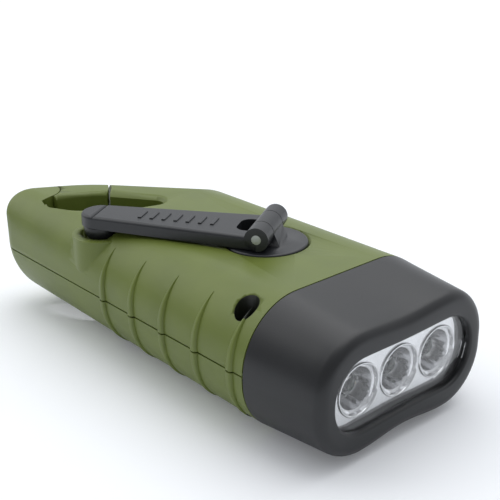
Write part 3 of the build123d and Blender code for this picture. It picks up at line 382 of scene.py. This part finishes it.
def side_at(x, side, z):
    """The side's point at a height and the way out from it, both as (y, z)."""
    upper, lower = side_roundings(x, side)
    radius, centre_y, centre_z = upper if z > upper[2] else lower
    if lower[2] <= z <= upper[2]:
        return (side * BODY_WIDTH / 2, z), (side, 0.0)
    lift = max(-1, min(1, (z - centre_z) / radius))
    out = math.sqrt(1 - lift**2)
    return (centre_y + side * radius * out, z), (side * out, lift)


def pressed_in(point):
    """Where a point outside the side lands when it is pushed back onto it."""
    x, y, z = point / MM
    side = 1 if y > 0 else -1
    if not RIB_ZONE[0] < x < RIB_ZONE[1]:
        return point
    upper, lower = side_roundings(x, side)
    if lower[2] <= z <= upper[2]:
        return Vector((x, side * min(abs(y), BODY_WIDTH / 2), z)) * MM
    radius, centre_y, centre_z = upper if z > upper[2] else lower
    reach = math.hypot(y - centre_y, z - centre_z)
    if (y - centre_y) * side <= 0 or reach <= radius:
        return point
    scale = radius / reach
    return Vector((x, centre_y + (y - centre_y) * scale, centre_z + (z - centre_z) * scale)) * MM


print("near side at mid height, as (y, z) and the way out:", side_at(0, -1, BODY_HEIGHT / 2))

# %% [markdown]
# ## Smooth skins
#
# A CAD mesh is loose triangles, so its curved sides would show as facets. A copy of it has its
# points merged and its normals smoothed, with every edge sharper than a set angle kept crisp.
# Subdividing the copy would round its real edges off too, and smooth normals leave them alone.

# %% Helpers for every piece
BODY_OF = {node: body for body, nodes in frame["record"]["behaviour"]["bodies"].items()
           for node in nodes}


def ride_on(piece, body):
    """The piece moves with a body of the CAD."""
    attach(piece, body)


def stand_for(piece, node):
    """The piece is seen in place of a node, on its body."""
    ride_on(piece, BODY_OF[node])
    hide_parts(node)


def shown(name, content):
    """Puts a mesh, a lamp or a camera into the scene."""
    thing = bpy.data.objects.new(name, content)
    bpy.context.scene.collection.objects.link(thing)
    return thing


def smooth_piece(name, form, mesh, crisp):
    """Writes a bmesh to a mesh, smooth apart from the edges sharper than this many degrees."""
    open_edges = sum(1 for edge in form.edges if not edge.is_manifold)
    form.to_mesh(mesh)
    form.free()
    mesh.shade_smooth()
    mesh.set_sharp_from_angle(angle=math.radians(crisp))
    print(name, "faces:", len(mesh.polygons), "open edges:", open_edges)
    return shown(name, mesh)


# %% Smooth copies of the curved nodes
SKIN_CRISP = 28.0
MERGE_WITHIN, SLIVER = 0.000002, 0.00002


def make_skin(node, reshape=None):
    """A merged and smoothed copy of a CAD node, which stands for it."""
    mesh = frame["nodes"][node].data.copy()
    mesh.name = node + "_skin"
    form = bmesh.new()
    form.from_mesh(mesh)
    bmesh.ops.remove_doubles(form, verts=form.verts, dist=MERGE_WITHIN)
    if reshape:
        for vert in form.verts:
            vert.co = reshape(vert.co)
        bmesh.ops.dissolve_degenerate(form, dist=SLIVER, edges=form.edges)
    piece = smooth_piece(mesh.name, form, mesh, SKIN_CRISP)
    stand_for(piece, node)
    # Normals weighted by face area keep a rounding's shade out of the flat beside it.
    piece.modifiers.new("weighted_normals", "WEIGHTED_NORMAL").keep_sharp = True


for node in ("top_shell", "bottom_shell"):
    make_skin(node, pressed_in)
for node in ("gate", "crank_disc", "crank_arm", "crank_knob", "lens", "power_button"):
    make_skin(node)

# %% [markdown]
# ## The head
#
# The black head is a hollow ring. Its front is a little waisted between the lamps, its rim is
# round, and a step inside the opening holds the window. It is drawn as a row of closed outlines
# that runs out over the head, round the rim, in through the opening and back along the inside.
# Quads join each outline to the next, and the last one to the first, so the mesh closes.
#
# A block with the opening cut out by a boolean would be quicker, but its rim could not follow
# the waist, and a rounding laid on such a cut shades unevenly.

# %% Mesh helpers
def piece_from(name, form, finish, crisp):
    """Turns a finished bmesh into a smooth piece with one finish."""
    bmesh.ops.recalc_face_normals(form, faces=form.faces)
    mesh = bpy.data.meshes.new(name)
    mesh.materials.append(finish)
    return smooth_piece(name, form, mesh, crisp)


def ring(form, x, points):
    """New vertices for the (y, z) points of an outline at one place along the flashlight."""
    return [form.verts.new(Vector((x, y, z)) * MM) for y, z in points]


def bridge(form, first, second):
    """Quads between two rings of equal count."""
    for number in range(len(first)):
        following = (number + 1) % len(first)
        form.faces.new((first[number], first[following], second[following], second[number]))


def bridge_all(form, rings):
    """Quads from each ring to the next."""
    for first, second in zip(rings, rings[1:]):
        bridge(form, first, second)


def solid(form, rings):
    """A closed solid: quads from ring to ring, and a face over each end."""
    bridge_all(form, rings)
    form.faces.new(rings[0])
    form.faces.new(rings[-1])


# %% The head's outline
ARC_STEPS, LONG_STEPS, SHORT_STEPS = 16, 24, 4
LEAST_FLAT = 0.04  # the share of an end's height that no rounding takes


def outline(width, height, radius, centre, waist_top=0.0, waist_low=0.0):
    """A rounded rectangle (y, z) whose long sides draw in towards the middle."""
    radius = min(radius, height / 2 * (1 - LEAST_FLAT))
    flat_y, flat_z = width / 2 - radius, height / 2 - radius
    points = []
    for quarter, (side_y, side_z) in enumerate(((1, 1), (-1, 1), (-1, -1), (1, -1))):
        for step in range(ARC_STEPS + 1):
            angle = math.radians(90 * (quarter + step / ARC_STEPS))
            points.append((side_y * flat_y + radius * math.cos(angle),
                           side_z * flat_z + radius * math.sin(angle)))
        steps = SHORT_STEPS if quarter % 2 else LONG_STEPS
        for step in range(1, steps):
            share = 1 - 2 * step / steps
            along_y = (side_y * width / 2, side_z * flat_z * share)
            along_z = (side_y * flat_y * share, side_z * height / 2)
            points.append(along_y if quarter % 2 else along_z)
    pinched = []
    for y, z in points:
        depth = (1 + math.cos(math.pi * min(abs(y) / flat_y, 1))) / 2
        z -= depth * waist_top * (z > 0)
        z += depth * waist_low * (z < 0)
        pinched.append((y, z + centre))
    return pinched


# %% The head's sizes in millimetres
FACE_WIDTH, FACE_HEIGHT, FACE_RADIUS = 50.2, 27.0, 12.0  # the front's outline
FACE_CENTRE = sum(span("lens", "z")) / 2
WAIST_TOP, WAIST_LOW = 0.7, 1.1
RIM_RADIUS, RIM_STEPS = 2.2, 7
OPENING_WIDTH, OPENING_HEIGHT = 41.6, 16.4
OPENING_EDGE = 0.7  # the radius of the opening's rounded edge
WINDOW_BACK, WINDOW_FRONT = span("lens", "x")
SEAT_LEDGE = 1.0  # how far the window's seat stands back round the opening
OPTICS_BACK = 46.5
TUBE_WALL, TUBE_FRONT = 1.4, 56.0
WALL, COLLAR_INSET, COLLAR_WALL = 2.0, 2.1, 1.4
SEAM_INSET, SEAM_WIDTH = 0.35, 0.3
OPENING_WAIST = 0.3  # the opening's share of the front's waist


def head_outline(x, inset):
    """The head's section, from the body's full size to the smaller front."""
    share = max(x - HEAD_REAR, 0) / (HEAD_FRONT - HEAD_REAR)

    def between(rear, front):
        return rear + (front - rear) * share

    return outline(
        between(BODY_WIDTH, FACE_WIDTH) - 2 * inset,
        between(BODY_HEIGHT, FACE_HEIGHT) - 2 * inset,
        between(BODY_RADIUS, FACE_RADIUS) - inset,
        between(BODY_HEIGHT / 2, FACE_CENTRE),
        WAIST_TOP * share,
        WAIST_LOW * share,
    )


def window_outline(grow, waist=OPENING_WAIST):
    """The window's opening, made larger on all sides."""
    width, height = OPENING_WIDTH + 2 * grow, OPENING_HEIGHT + 2 * grow
    return outline(width, height, height / 2, FACE_CENTRE, WAIST_TOP * waist, WAIST_LOW * waist)


print("head's front:", FACE_WIDTH, "by", FACE_HEIGHT, "mm")


# %% The head's mesh
HEAD_STEPS, EDGE_STEPS = 6, 4
HEAD_CRISP = 32.0


def outer_stations():
    """The outlines from the seam with the body to the front's edge, as (x, outline) pairs."""
    stations = [(HEAD_REAR, head_outline(HEAD_REAR, SEAM_INSET))]
    straight = HEAD_FRONT - RIM_RADIUS
    for step in range(HEAD_STEPS + 1):
        x = HEAD_REAR + SEAM_WIDTH + (straight - HEAD_REAR - SEAM_WIDTH) * step / HEAD_STEPS
        stations.append((x, head_outline(x, 0)))
    for step in range(1, RIM_STEPS + 1):
        angle = math.radians(90 * step / RIM_STEPS)
        x = straight + RIM_RADIUS * math.sin(angle)
        stations.append((x, head_outline(x, RIM_RADIUS * (1 - math.cos(angle)))))
    return stations


def inner_stations():
    """The outlines from the opening's edge back to the collar inside the body."""
    stations = []
    for step in range(EDGE_STEPS + 1):
        angle = math.radians(90 * step / EDGE_STEPS)
        grow = OPENING_EDGE * (1 - math.sin(angle))
        stations.append((HEAD_FRONT - OPENING_EDGE * (1 - math.cos(angle)), window_outline(grow)))
    seat = window_outline(SEAT_LEDGE, 0)
    tube = window_outline(SEAT_LEDGE + TUBE_WALL, 0)
    collar_end = HEAD_REAR + WALL
    collar_in = head_outline(HEAD_REAR, COLLAR_INSET + COLLAR_WALL)
    collar_out = head_outline(HEAD_REAR, COLLAR_INSET)
    return stations + [
        (WINDOW_FRONT, window_outline(0)), (WINDOW_FRONT, seat),
        (OPTICS_BACK, seat), (OPTICS_BACK, tube),
        (TUBE_FRONT, tube), (TUBE_FRONT, head_outline(TUBE_FRONT, WALL)),
        (collar_end, head_outline(collar_end, WALL)), (collar_end, collar_in),
        (COLLAR_REAR, collar_in), (COLLAR_REAR, collar_out), (HEAD_REAR, collar_out),
    ]


def make_head():
    """Joins the outlines in turn, and the last to the first."""
    form = bmesh.new()
    rings = [ring(form, x, points) for x, points in outer_stations() + inner_stations()]
    bridge_all(form, rings + rings[:1])
    return piece_from("head_ring", form, HEAD_BLACK, HEAD_CRISP)


stand_for(make_head(), "bezel")

# %% [markdown]
# ## Grip ribs
#
# Five slim ribs a side cross the parting line and run out to points above and below. Each is a
# bent half-round, steeper on the side towards the head. Its width follows a lens shape, and it
# stops short of the parting groove on both sides.
#
# Copies of one rib would not fit, because the roundings under them change along the body. So
# each rib's section is set on the side's own surface, height by height.

# %% Ribs
RIB_COUNT, RIB_PITCH, RIB_FIRST_X = 5, 11.55, -9.5
RIB_LOW, RIB_HIGH = 2.8, 28.4
RIB_HALF_WIDTH, RIB_RISE, RIB_SINK = 1.15, 0.69, 0.3
RIB_PEAK = 0.3  # how far the ridge leans to the head, as a share of half the width
RIB_POINT, RIB_FADE = 0.02, 0.6
RIB_ACROSS, RIB_ALONG = 10, 22
RIB_CRISP = 50.0
GROOVE = 0.35


def rib_share(z):
    """How wide the rib is at a height, from 0 at its points to 1 in the middle."""
    middle, half = (RIB_LOW + RIB_HIGH) / 2, (RIB_HIGH - RIB_LOW) / 2
    bow = (half**2 + RIB_HALF_WIDTH**2) / (2 * RIB_HALF_WIDTH)
    width = math.sqrt(bow**2 - (z - middle) ** 2) - (bow - RIB_HALF_WIDTH)
    return max(width / RIB_HALF_WIDTH, RIB_POINT)


def rib_ring(form, x, side, z):
    """The rib's closed section at a height."""
    share = rib_share(z)
    points = []
    for step in range(RIB_ACROSS + 1):
        place_across = -1 + 2 * step / RIB_ACROSS
        run = 1 + RIB_PEAK if place_across < RIB_PEAK else 1 - RIB_PEAK
        rise = math.sqrt(max(1 - ((place_across - RIB_PEAK) / run) ** 2, 0))
        points.append((place_across, RIB_RISE * rise * share**RIB_FADE))
    points += [(1, -RIB_SINK), (-1, -RIB_SINK)]
    ring_points = []
    for across, rise in points:
        (y, height), (out_y, out_z) = side_at(x, side, z)
        spot = (x + across * RIB_HALF_WIDTH * share, y + out_y * rise, height + out_z * rise)
        ring_points.append(form.verts.new(Vector(spot) * MM))
    return ring_points


def make_ribs():
    """All the ribs of both sides, each in two parts with the parting groove between them."""
    form = bmesh.new()
    for number in range(RIB_COUNT):
        x = RIB_FIRST_X + number * RIB_PITCH
        for side in (-1, 1):
            for low, high in ((RIB_LOW, PARTING), (PARTING + GROOVE, RIB_HIGH)):
                heights = [low + (high - low) * step / RIB_ALONG for step in range(RIB_ALONG + 1)]
                solid(form, [rib_ring(form, x, side, z) for z in heights])
    return piece_from("grip_ribs", form, OLIVE, RIB_CRISP)


ride_on(make_ribs(), "case")

# %% [markdown]
# ## Reflector
#
# The real part is one chromed moulding with three cups. Each cup starts with a small rolled rim
# that stands over the plate between them, and curves down to the hole for its lamp. Shallow
# flutes spread the light. The cups are turned profiles, and the front and the back are flat faces
# with three holes, filled between their edges. That keeps the flats free of long thin faces,
# which a boolean would leave round each cup.

# %% The reflector's mesh
CUP_PITCH = sum(span("led_3", "y")) / 2
CUP_STEPS = 108
CUP_MOUTH, CUP_SEAT = 4.6, 3.2
CUP_FLUTES, FLUTE_DEPTH = 18, 0.025
RIM_PROFILE = (  # from the plate over the double rim into the cup: (x from the window, radius)
    (-0.45, 5.96), (-0.2, 5.93), (-0.05, 5.8), (-0.03, 5.65), (-0.16, 5.5), (-0.5, 5.4),
    (-1.0, 5.2), (-1.1, 5.0), (-1.02, 4.8), (-1.12, 4.66), (-1.4, 4.6),
)
CUP_BACK, REFLECTOR_BACK = 50.1, span("reflector", "x")[0]
CUP_CURVE_STEPS = 12
FIT_GAP = 0.1
CUP_CRISP = 40.0


def circle(y, z, radius, steps=CUP_STEPS, flutes=0.0):
    """A circle (y, z), or a fluted one whose radius rises and falls."""
    points = []
    for step in range(steps):
        turn = 2 * math.pi * step / steps
        reach = radius + flutes * math.cos(CUP_FLUTES * turn)
        points.append((y + reach * math.cos(turn), z + reach * math.sin(turn)))
    return points


def cup_profile():
    """A cup from its rim to the back of its lamp's hole, as (x, radius) pairs."""
    profile = [(WINDOW_BACK + x, radius) for x, radius in RIM_PROFILE]
    start = profile[-1][0]
    for step in range(1, CUP_CURVE_STEPS + 1):
        share = step / CUP_CURVE_STEPS
        radius = math.sqrt(CUP_MOUTH**2 + (CUP_SEAT**2 - CUP_MOUTH**2) * share)
        profile.append((start + (CUP_BACK - start) * share, radius))
    return profile + [(REFLECTOR_BACK, CUP_SEAT)]


def fill_between(form, rings):
    """A flat face inside the first ring, with the others as holes."""
    edges = []
    for points in rings:
        for number, point in enumerate(points):
            pair = (point, points[(number + 1) % len(points)])
            edges.append(form.edges.get(pair) or form.edges.new(pair))
    bmesh.ops.triangle_fill(form, edges=edges, use_beauty=True, use_dissolve=False)


def make_reflector():
    """The plate's edge, the three cups and the flat faces between them."""
    form = bmesh.new()
    plate_x = WINDOW_BACK + RIM_PROFILE[0][0]
    edge = window_outline(SEAT_LEDGE - FIT_GAP, 0)
    front, back = ring(form, plate_x, edge), ring(form, REFLECTOR_BACK, edge)
    bridge(form, front, back)
    mouths, seats = [front], [back]
    for y in (-CUP_PITCH, 0, CUP_PITCH):
        rings = []
        for x, radius in cup_profile():
            depth = FLUTE_DEPTH if CUP_SEAT < radius < CUP_MOUTH else 0
            rings.append(ring(form, x, circle(y, FACE_CENTRE, radius, flutes=depth)))
        bridge_all(form, rings)
        mouths.append(rings[0])
        seats.append(rings[-1])
    fill_between(form, mouths)
    fill_between(form, seats)
    return piece_from("reflector_cups", form, CHROME, CUP_CRISP)


stand_for(make_reflector(), "reflector")

# %% [markdown]
# ## Lamps
#
# Each 5 mm lamp is a clear epoxy bullet. What the eye finds inside it is the lead frame: a wide
# post that ends in a little cup with a yellow chip, and a thin post beside it. All of them are
# round about a line along the lamp, so one function turns a profile of (x, radius) pairs, and
# each piece is one or two such profiles.

# %% Turned profiles, in millimetres
BULLET_RADIUS, BULLET_LENGTH = 2.5, 7.4
FLANGE_RADIUS, FLANGE = 2.9, 1.0
DOME_STEPS = 10
LAMP_BASE = REFLECTOR_BACK + FLANGE


def bullet_profile():
    """The flange, the straight part and the dome."""
    dome = REFLECTOR_BACK + BULLET_LENGTH - BULLET_RADIUS
    profile = [(REFLECTOR_BACK, FLANGE_RADIUS), (LAMP_BASE, FLANGE_RADIUS),
               (LAMP_BASE, BULLET_RADIUS), (dome, BULLET_RADIUS)]
    for step in range(1, DOME_STEPS):
        angle = math.radians(90 * step / DOME_STEPS)
        profile.append((dome + BULLET_RADIUS * math.sin(angle), BULLET_RADIUS * math.cos(angle)))
    return profile


def above_base(*pairs):
    """A profile whose x is counted from the lamp's base."""
    return [(LAMP_BASE + x, radius) for x, radius in pairs]


WIDE_POST = above_base((0, 0.35), (2.6, 0.4), (2.9, 1.0), (3.4, 1.15), (3.38, 0.75), (3.1, 0.45))
THIN_POST = above_base((0, 0.22), (3.2, 0.22), (3.3, 0.15))
CHIP_DOT = above_base((3.1, 0.42), (3.36, 0.38), (3.44, 0.2))
WIDE_POST_Y, THIN_POST_Y = -0.5, 1.1
BULLET_SIDES, WIDE_SIDES, THIN_SIDES, CHIP_SIDES = 40, 24, 16, 20
BULLET_CRISP, LEAD_CRISP = 35.0, 40.0
print("bullet's tip, measured from the window:", round(bullet_profile()[-1][0] - WINDOW_BACK, 2))


# %% The three lamps
def turned_piece(name, finish, crisp, *solids):
    """A piece made of solids of revolution, each given as (y, profile, sides)."""
    form = bmesh.new()
    for y, profile, sides in solids:
        solid(form, [ring(form, x, circle(y, FACE_CENTRE, radius, sides)) for x, radius in profile])
    return piece_from(name, form, finish, crisp)


CHIP_YELLOW = moulded("led_chip", shade(232, 214, 92), shade(222, 200, 80), gloss=0.4)
for number, y in enumerate((-CUP_PITCH, 0, CUP_PITCH), start=1):
    bullet = turned_piece(f"led_bullet_{number}", EPOXY, BULLET_CRISP,
                          (y, bullet_profile(), BULLET_SIDES))
    posts = turned_piece(f"led_posts_{number}", STEEL, LEAD_CRISP,
                         (y + WIDE_POST_Y, WIDE_POST, WIDE_SIDES),
                         (y + THIN_POST_Y, THIN_POST, THIN_SIDES))
    chip = turned_piece(f"led_chip_{number}", CHIP_YELLOW, LEAD_CRISP,
                        (y + WIDE_POST_Y, CHIP_DOT, CHIP_SIDES))
    stand_for(bullet, f"led_{number}")
    ride_on(posts, "case")
    ride_on(chip, "case")

# %% [markdown]
# ## Geometry Nodes for what repeats
#
# Screws, solar cells and the raised bars on the crank are each one shape set down many times.
# A small tree makes the shape once from named sizes, puts it on points and makes the copies
# real, so a change to the shape is made in one place. The result is turned into a plain mesh,
# and the modifier is taken away again.

# %% A recipe
class Recipe(Tree):
    """A Geometry Nodes tree with named inputs that sets a shape on the carrier's points."""

    def __init__(self, name, **inputs):
        self.tree = bpy.data.node_groups.new(name, "GeometryNodeTree")
        face = self.tree.interface
        face.new_socket("Geometry", in_out="INPUT", socket_type="NodeSocketGeometry")
        face.new_socket("Geometry", in_out="OUTPUT", socket_type="NodeSocketGeometry")
        face.new_socket("Finish", in_out="INPUT", socket_type="NodeSocketMaterial")
        for label, value in inputs.items():
            kind = "NodeSocketInt" if isinstance(value, int) else "NodeSocketFloat"
            face.new_socket(label, in_out="INPUT", socket_type=kind).default_value = value
        self.source = self.tree.nodes.new("NodeGroupInput")

    def input(self, label):
        """The value of a named input."""
        return Value(self, self.source.outputs[label])

    def vector(self, x, y, z):
        return self.add("ShaderNodeCombineXYZ", values={"X": x, "Y": y, "Z": z})

    def moved(self, shape, offset=(0, 0, 0), turn=(0, 0, 0)):
        """A shape set down at an offset, turned by these angles."""
        values = {"Geometry": shape, "Translation": offset, "Rotation": turn}
        return self.add("GeometryNodeTransform", values=values)

    def end(self, shape):
        """Makes the copies real and gives them their finish."""
        real = self.add("GeometryNodeRealizeInstances", values={"Geometry": shape})
        values = {"Geometry": real, "Material": self.input("Finish")}
        dressed = self.add("GeometryNodeSetMaterial", values=values)
        self.tree.links.new(dressed.socket, self.tree.nodes.new("NodeGroupOutput").inputs[0])

    def make(self, name, points, finish, **inputs):
        """Runs the recipe on points in millimetres and returns a plain mesh piece."""
        mesh = bpy.data.meshes.new(name + "_points")
        mesh.from_pydata([Vector(point) * MM for point in points], [], [])
        carrier = shown(name + "_carrier", mesh)
        modifier = carrier.modifiers.new(name, "NODES")
        modifier.node_group = self.tree
        for item in self.tree.interface.items_tree:
            if item.in_out == "INPUT" and item.name in {"Finish", *inputs}:
                modifier[item.identifier] = finish if item.name == "Finish" else inputs[item.name]
        seen = carrier.evaluated_get(bpy.context.evaluated_depsgraph_get())
        plain = bpy.data.meshes.new_from_object(seen)
        plain.name = name
        carrier.modifiers.clear()
        bpy.data.objects.remove(carrier)
        print(name, "points:", len(points), "faces:", len(plain.polygons))
        return shown(name, plain)


# %% [markdown]
# ## Case screws
#
# Four screws hold the case. Two go down from the top, deep in their wells, and two go up from
# below. A screw is a head with a cross recess and a shank. The recess is two bars taken away from
# the head, and one bar is a little deeper than the other, so that no two of their faces lie in
# one plane, which a boolean handles badly.

# %% The screw recipe
SCREW_HEAD, SCREW_HEAD_HEIGHT, HEAD_SIDES = 2.3, 1.6, 40
SCREW_SHANK, SCREW_LENGTH, SHANK_SIDES = 1.2, 10.0, 24
CROSS_LENGTH, CROSS_WIDTH, CROSS_DEPTH = 2.5, 0.62, 0.9
CROSS_OVER = 1.02

screws = Recipe("screw_recipe", Turn=0.0, Radius=SCREW_HEAD * MM, Height=SCREW_HEAD_HEIGHT * MM,
                Shank=SCREW_SHANK * MM, Length=SCREW_LENGTH * MM, Cross=CROSS_LENGTH * MM)


def upright(radius, depth, sides, middle):
    """A cylinder about the screw's line, whose middle is at a height."""
    values = {"Vertices": sides, "Radius": radius, "Depth": depth}
    body = screws.add("GeometryNodeMeshCylinder", values=values)
    return screws.moved(body, screws.vector(0.0, 0.0, middle))


height, length, cross = (screws.input(label) for label in ("Height", "Length", "Cross"))
head = upright(screws.input("Radius"), height, HEAD_SIDES, height * 0.5)
bars = []
for size in ((cross, CROSS_WIDTH * MM, CROSS_DEPTH * MM),
             (CROSS_WIDTH * MM, cross, CROSS_DEPTH * MM * CROSS_OVER)):
    bar = screws.add("GeometryNodeMeshCube", values={"Size": screws.vector(*size)})
    bars.append(screws.moved(bar, screws.vector(0.0, 0.0, height)))
recessed = screws.add("GeometryNodeMeshBoolean", {"operation": "DIFFERENCE"},
                      {"Mesh 1": head, "Mesh 2": bars})
shank = upright(screws.input("Shank"), length, SHANK_SIDES, length * -0.5)
screw = screws.add("GeometryNodeJoinGeometry", values={"Geometry": [recessed, shank]})
screws.end(screws.add("GeometryNodeInstanceOnPoints", values={
    "Points": screws.input("Geometry"), "Instance": screw,
    "Rotation": screws.vector(screws.input("Turn"), 0.0, 0.0)}))

# %% The screws in their places
FRONT_SEAT = 18.0
REAR_SCREW_X, REAR_SCREW_Y, REAR_SEAT = -12.0, 17.6, 14.4
front_places = [(WELL_X, side * WELL_Y, FRONT_SEAT) for side in (-1, 1)]
rear_places = [(REAR_SCREW_X, side * REAR_SCREW_Y, REAR_SEAT) for side in (-1, 1)]
stand_for(screws.make("case_screws_top", front_places, BLACK_STEEL), "case_screws")
ride_on(screws.make("case_screws_low", rear_places, BLACK_STEEL, Turn=math.pi),
        "case")

# %% [markdown]
# ## Rows of blocks
#
# The solar panel under the flashlight has eight dark cells with gaps between them, and two thin
# silver lines that run along all of them. The crank's arm has a row of raised bars. All three are
# blocks on a grid, so one tree with a count and a reach each way makes them. The cells could be
# a pattern in the finish too, but their gaps catch light as real steps do.

# %% The block recipe
blocks = Recipe("block_recipe", Columns=1, Rows=1, Reach_X=0.0, Reach_Y=0.0, Length=MM, Width=MM,
                Height=MM, Turn=0.0)
grid = blocks.add("GeometryNodeMeshGrid", values={
    "Size X": blocks.input("Reach_X"), "Size Y": blocks.input("Reach_Y"),
    "Vertices X": blocks.input("Columns"), "Vertices Y": blocks.input("Rows")})
block = blocks.add("GeometryNodeMeshCube", values={
    "Size": blocks.vector(blocks.input("Length"), blocks.input("Width"), blocks.input("Height"))})
row = blocks.add("GeometryNodeInstanceOnPoints", values={"Points": grid, "Instance": block})
row = blocks.moved(row, turn=blocks.vector(0.0, 0.0, blocks.input("Turn")))
blocks.end(blocks.add("GeometryNodeInstanceOnPoints", values={
    "Points": blocks.input("Geometry"), "Instance": row}))

# %% Solar cells and their silver lines
panel_x, panel_y = span("solar_panel", "x"), span("solar_panel", "y")
PANEL_X, PANEL_LENGTH = sum(panel_x) / 2, panel_x[1] - panel_x[0]
PANEL_WIDTH, PANEL_LOW = panel_y[1] - panel_y[0], span("solar_panel", "z")[0]
CELL_COUNT, CELL_GAP, CELL_EDGE, CELL_HEIGHT = 8, 0.35, 0.9, 0.1
LINE_WIDTH, LINE_HEIGHT = 0.3, 0.03
cell_pitch = (PANEL_LENGTH - 2 * CELL_EDGE + CELL_GAP) / CELL_COUNT
cells = blocks.make(
    "solar_cell_row", [(PANEL_X, 0, PANEL_LOW - CELL_HEIGHT / 2)], CELL_BLUE, Columns=CELL_COUNT,
    Reach_X=cell_pitch * (CELL_COUNT - 1) * MM, Length=(cell_pitch - CELL_GAP) * MM,
    Width=(PANEL_WIDTH - 2 * CELL_EDGE) * MM, Height=CELL_HEIGHT * MM)
lines = blocks.make(
    "solar_cell_lines", [(PANEL_X, 0, PANEL_LOW - CELL_HEIGHT - LINE_HEIGHT / 2)], STEEL, Rows=2,
    Reach_Y=PANEL_WIDTH / 2 * MM, Length=(PANEL_LENGTH - 2 * CELL_EDGE) * MM,
    Width=LINE_WIDTH * MM, Height=LINE_HEIGHT * MM)
ride_on(cells, "case")
ride_on(lines, "case")

# %% Raised bars on the crank's arm
CRANK_X, CRANK_Y = (sum(span("crank_disc", axis)) / 2 for axis in "xy")
CRANK_ANGLE = math.radians(212.0)
BARS_ALONG, BARS_Z = 21.5, 34.52  # the row's middle: from the crank's centre, and its height
BAR_COUNT, BAR_ROW = 7, 18.0
BAR_LENGTH, BAR_WIDTH, BAR_HEIGHT = 0.9, 4.6, 0.5
BAR_EDGE, BAR_EDGE_STEPS = 0.15, 2
bars_at = (CRANK_X + BARS_ALONG * math.cos(CRANK_ANGLE),
           CRANK_Y + BARS_ALONG * math.sin(CRANK_ANGLE), BARS_Z)
arm_bars = blocks.make(
    "arm_bars", [bars_at], CRANK_BLACK, Columns=BAR_COUNT, Reach_X=BAR_ROW * MM,
    Length=BAR_LENGTH * MM, Width=BAR_WIDTH * MM, Height=BAR_HEIGHT * MM, Turn=CRANK_ANGLE)
soft = arm_bars.modifiers.new("soft_edges", "BEVEL")
soft.width, soft.segments = BAR_EDGE * MM, BAR_EDGE_STEPS
ride_on(arm_bars, "arm")

# %% [markdown]
# ## Floor, light and camera
#
# The photograph has a plain pale table. A wide soft light from above and behind lays a sheen on
# the flat tops and leaves the near side a little darker. The table is lifted towards white by a
# faint glow that only the camera sees, because brighter lamps would bleach the object as well.

# %% Floor
FLOOR_SIZE, FLOOR_GAP = 6.0, 0.0001
SEEN_LIFT = 0.1
TABLE_PATCH = 0.4
TABLE_DARK, TABLE_LIGHT = (0.9, 0.915, 0.94, 1.0), (0.92, 0.935, 0.96, 1.0)
NO_GLOW, GLOW = (0.0, 0.0, 0.0, 1.0), (0.95, 0.97, 1.0, 1.0)
bpy.ops.mesh.primitive_plane_add(size=FLOOR_SIZE, location=(0, 0, -FLOOR_GAP))
floor = bpy.context.object
floor.name = "floor"
table = Finish("white_table", Roughness=0.8, Specular_IOR_Level=0.0, Emission_Strength=SEEN_LIFT)
seen = table.add("ShaderNodeLightPath", out="Is Camera Ray")
table.feed(
    Base_Color=mixed(table, clouds(table, TABLE_PATCH), TABLE_DARK, TABLE_LIGHT),
    Emission_Color=mixed(table, seen, NO_GLOW, GLOW),
)
floor.data.materials.append(table.material)
print("floor:", FLOOR_SIZE, "m wide")


# %% Lights
def soft_light(name, power, size, spot):
    """A square panel of light at a point in metres, turned to face the object."""
    lamp = bpy.data.lights.new(name, "AREA")
    lamp.energy = power
    lamp.size = size
    holder = shown(name, lamp)
    holder.location = spot
    holder.rotation_euler = (-Vector(spot)).to_track_quat("-Z", "Y").to_euler()
    print(name, "watts:", power)


soft_light("light_over", power=8.2, size=1.4, spot=(-0.15, 0.4, 1.25))
soft_light("light_side", power=2.2, size=0.8, spot=(-0.65, -0.35, 0.6))

# %% Room
ROOM_LEAST, ROOM_RISE = 0.36, 0.62
BRIGHT_SIDE = (-0.33, 0.68, 0.66)
ROOM_COLOUR = (0.94, 0.965, 1.0, 1.0)


class Room(Tree):
    """A room that is brighter behind and above the object than on the viewer's side."""

    def __init__(self, world):
        world.use_nodes = True
        self.tree = world.node_tree
        towards = self.add("ShaderNodeTexCoord", out="Generated")
        facing = vectors(self, "DOT_PRODUCT", towards, BRIGHT_SIDE, out=1)
        bright = facing.sum("MAXIMUM", facing, 0.0)
        background = self.tree.nodes["Background"]
        background.inputs["Color"].default_value = ROOM_COLOUR
        self.give(background.inputs["Strength"], bright * ROOM_RISE + ROOM_LEAST)


world = bpy.data.worlds.new("room")
bpy.context.scene.world = world
Room(world)
bpy.context.scene.view_settings.view_transform = "Standard"
print("room's strength:", ROOM_LEAST, "to", ROOM_LEAST + ROOM_RISE)

# %% Camera
CAMERA_AT = Vector((171.40, -138.82, 113.36)) * MM
CAMERA_AIM = Vector((-11.98, 20.88, 15.0)) * MM
CAMERA_ROLL = math.radians(-0.69)
FOCAL_LENGTH, SENSOR_WIDTH = 70.3, 36.0
optics = bpy.data.cameras.new("camera")
optics.lens, optics.sensor_width = FOCAL_LENGTH, SENSOR_WIDTH
camera = shown("camera", optics)
facing = (CAMERA_AIM - CAMERA_AT).to_track_quat("-Z", "Y").to_matrix()
camera.matrix_world = (
    Matrix.Translation(CAMERA_AT) @ (facing @ Matrix.Rotation(CAMERA_ROLL, 3, "Z")).to_4x4()
)
bpy.context.scene.camera = camera
print("camera's distance in mm:", round((CAMERA_AIM - CAMERA_AT).length / MM))

# %% [markdown]
# ## Sizes
#
# The looks must not change the object's size.

# %% Sizes
import json
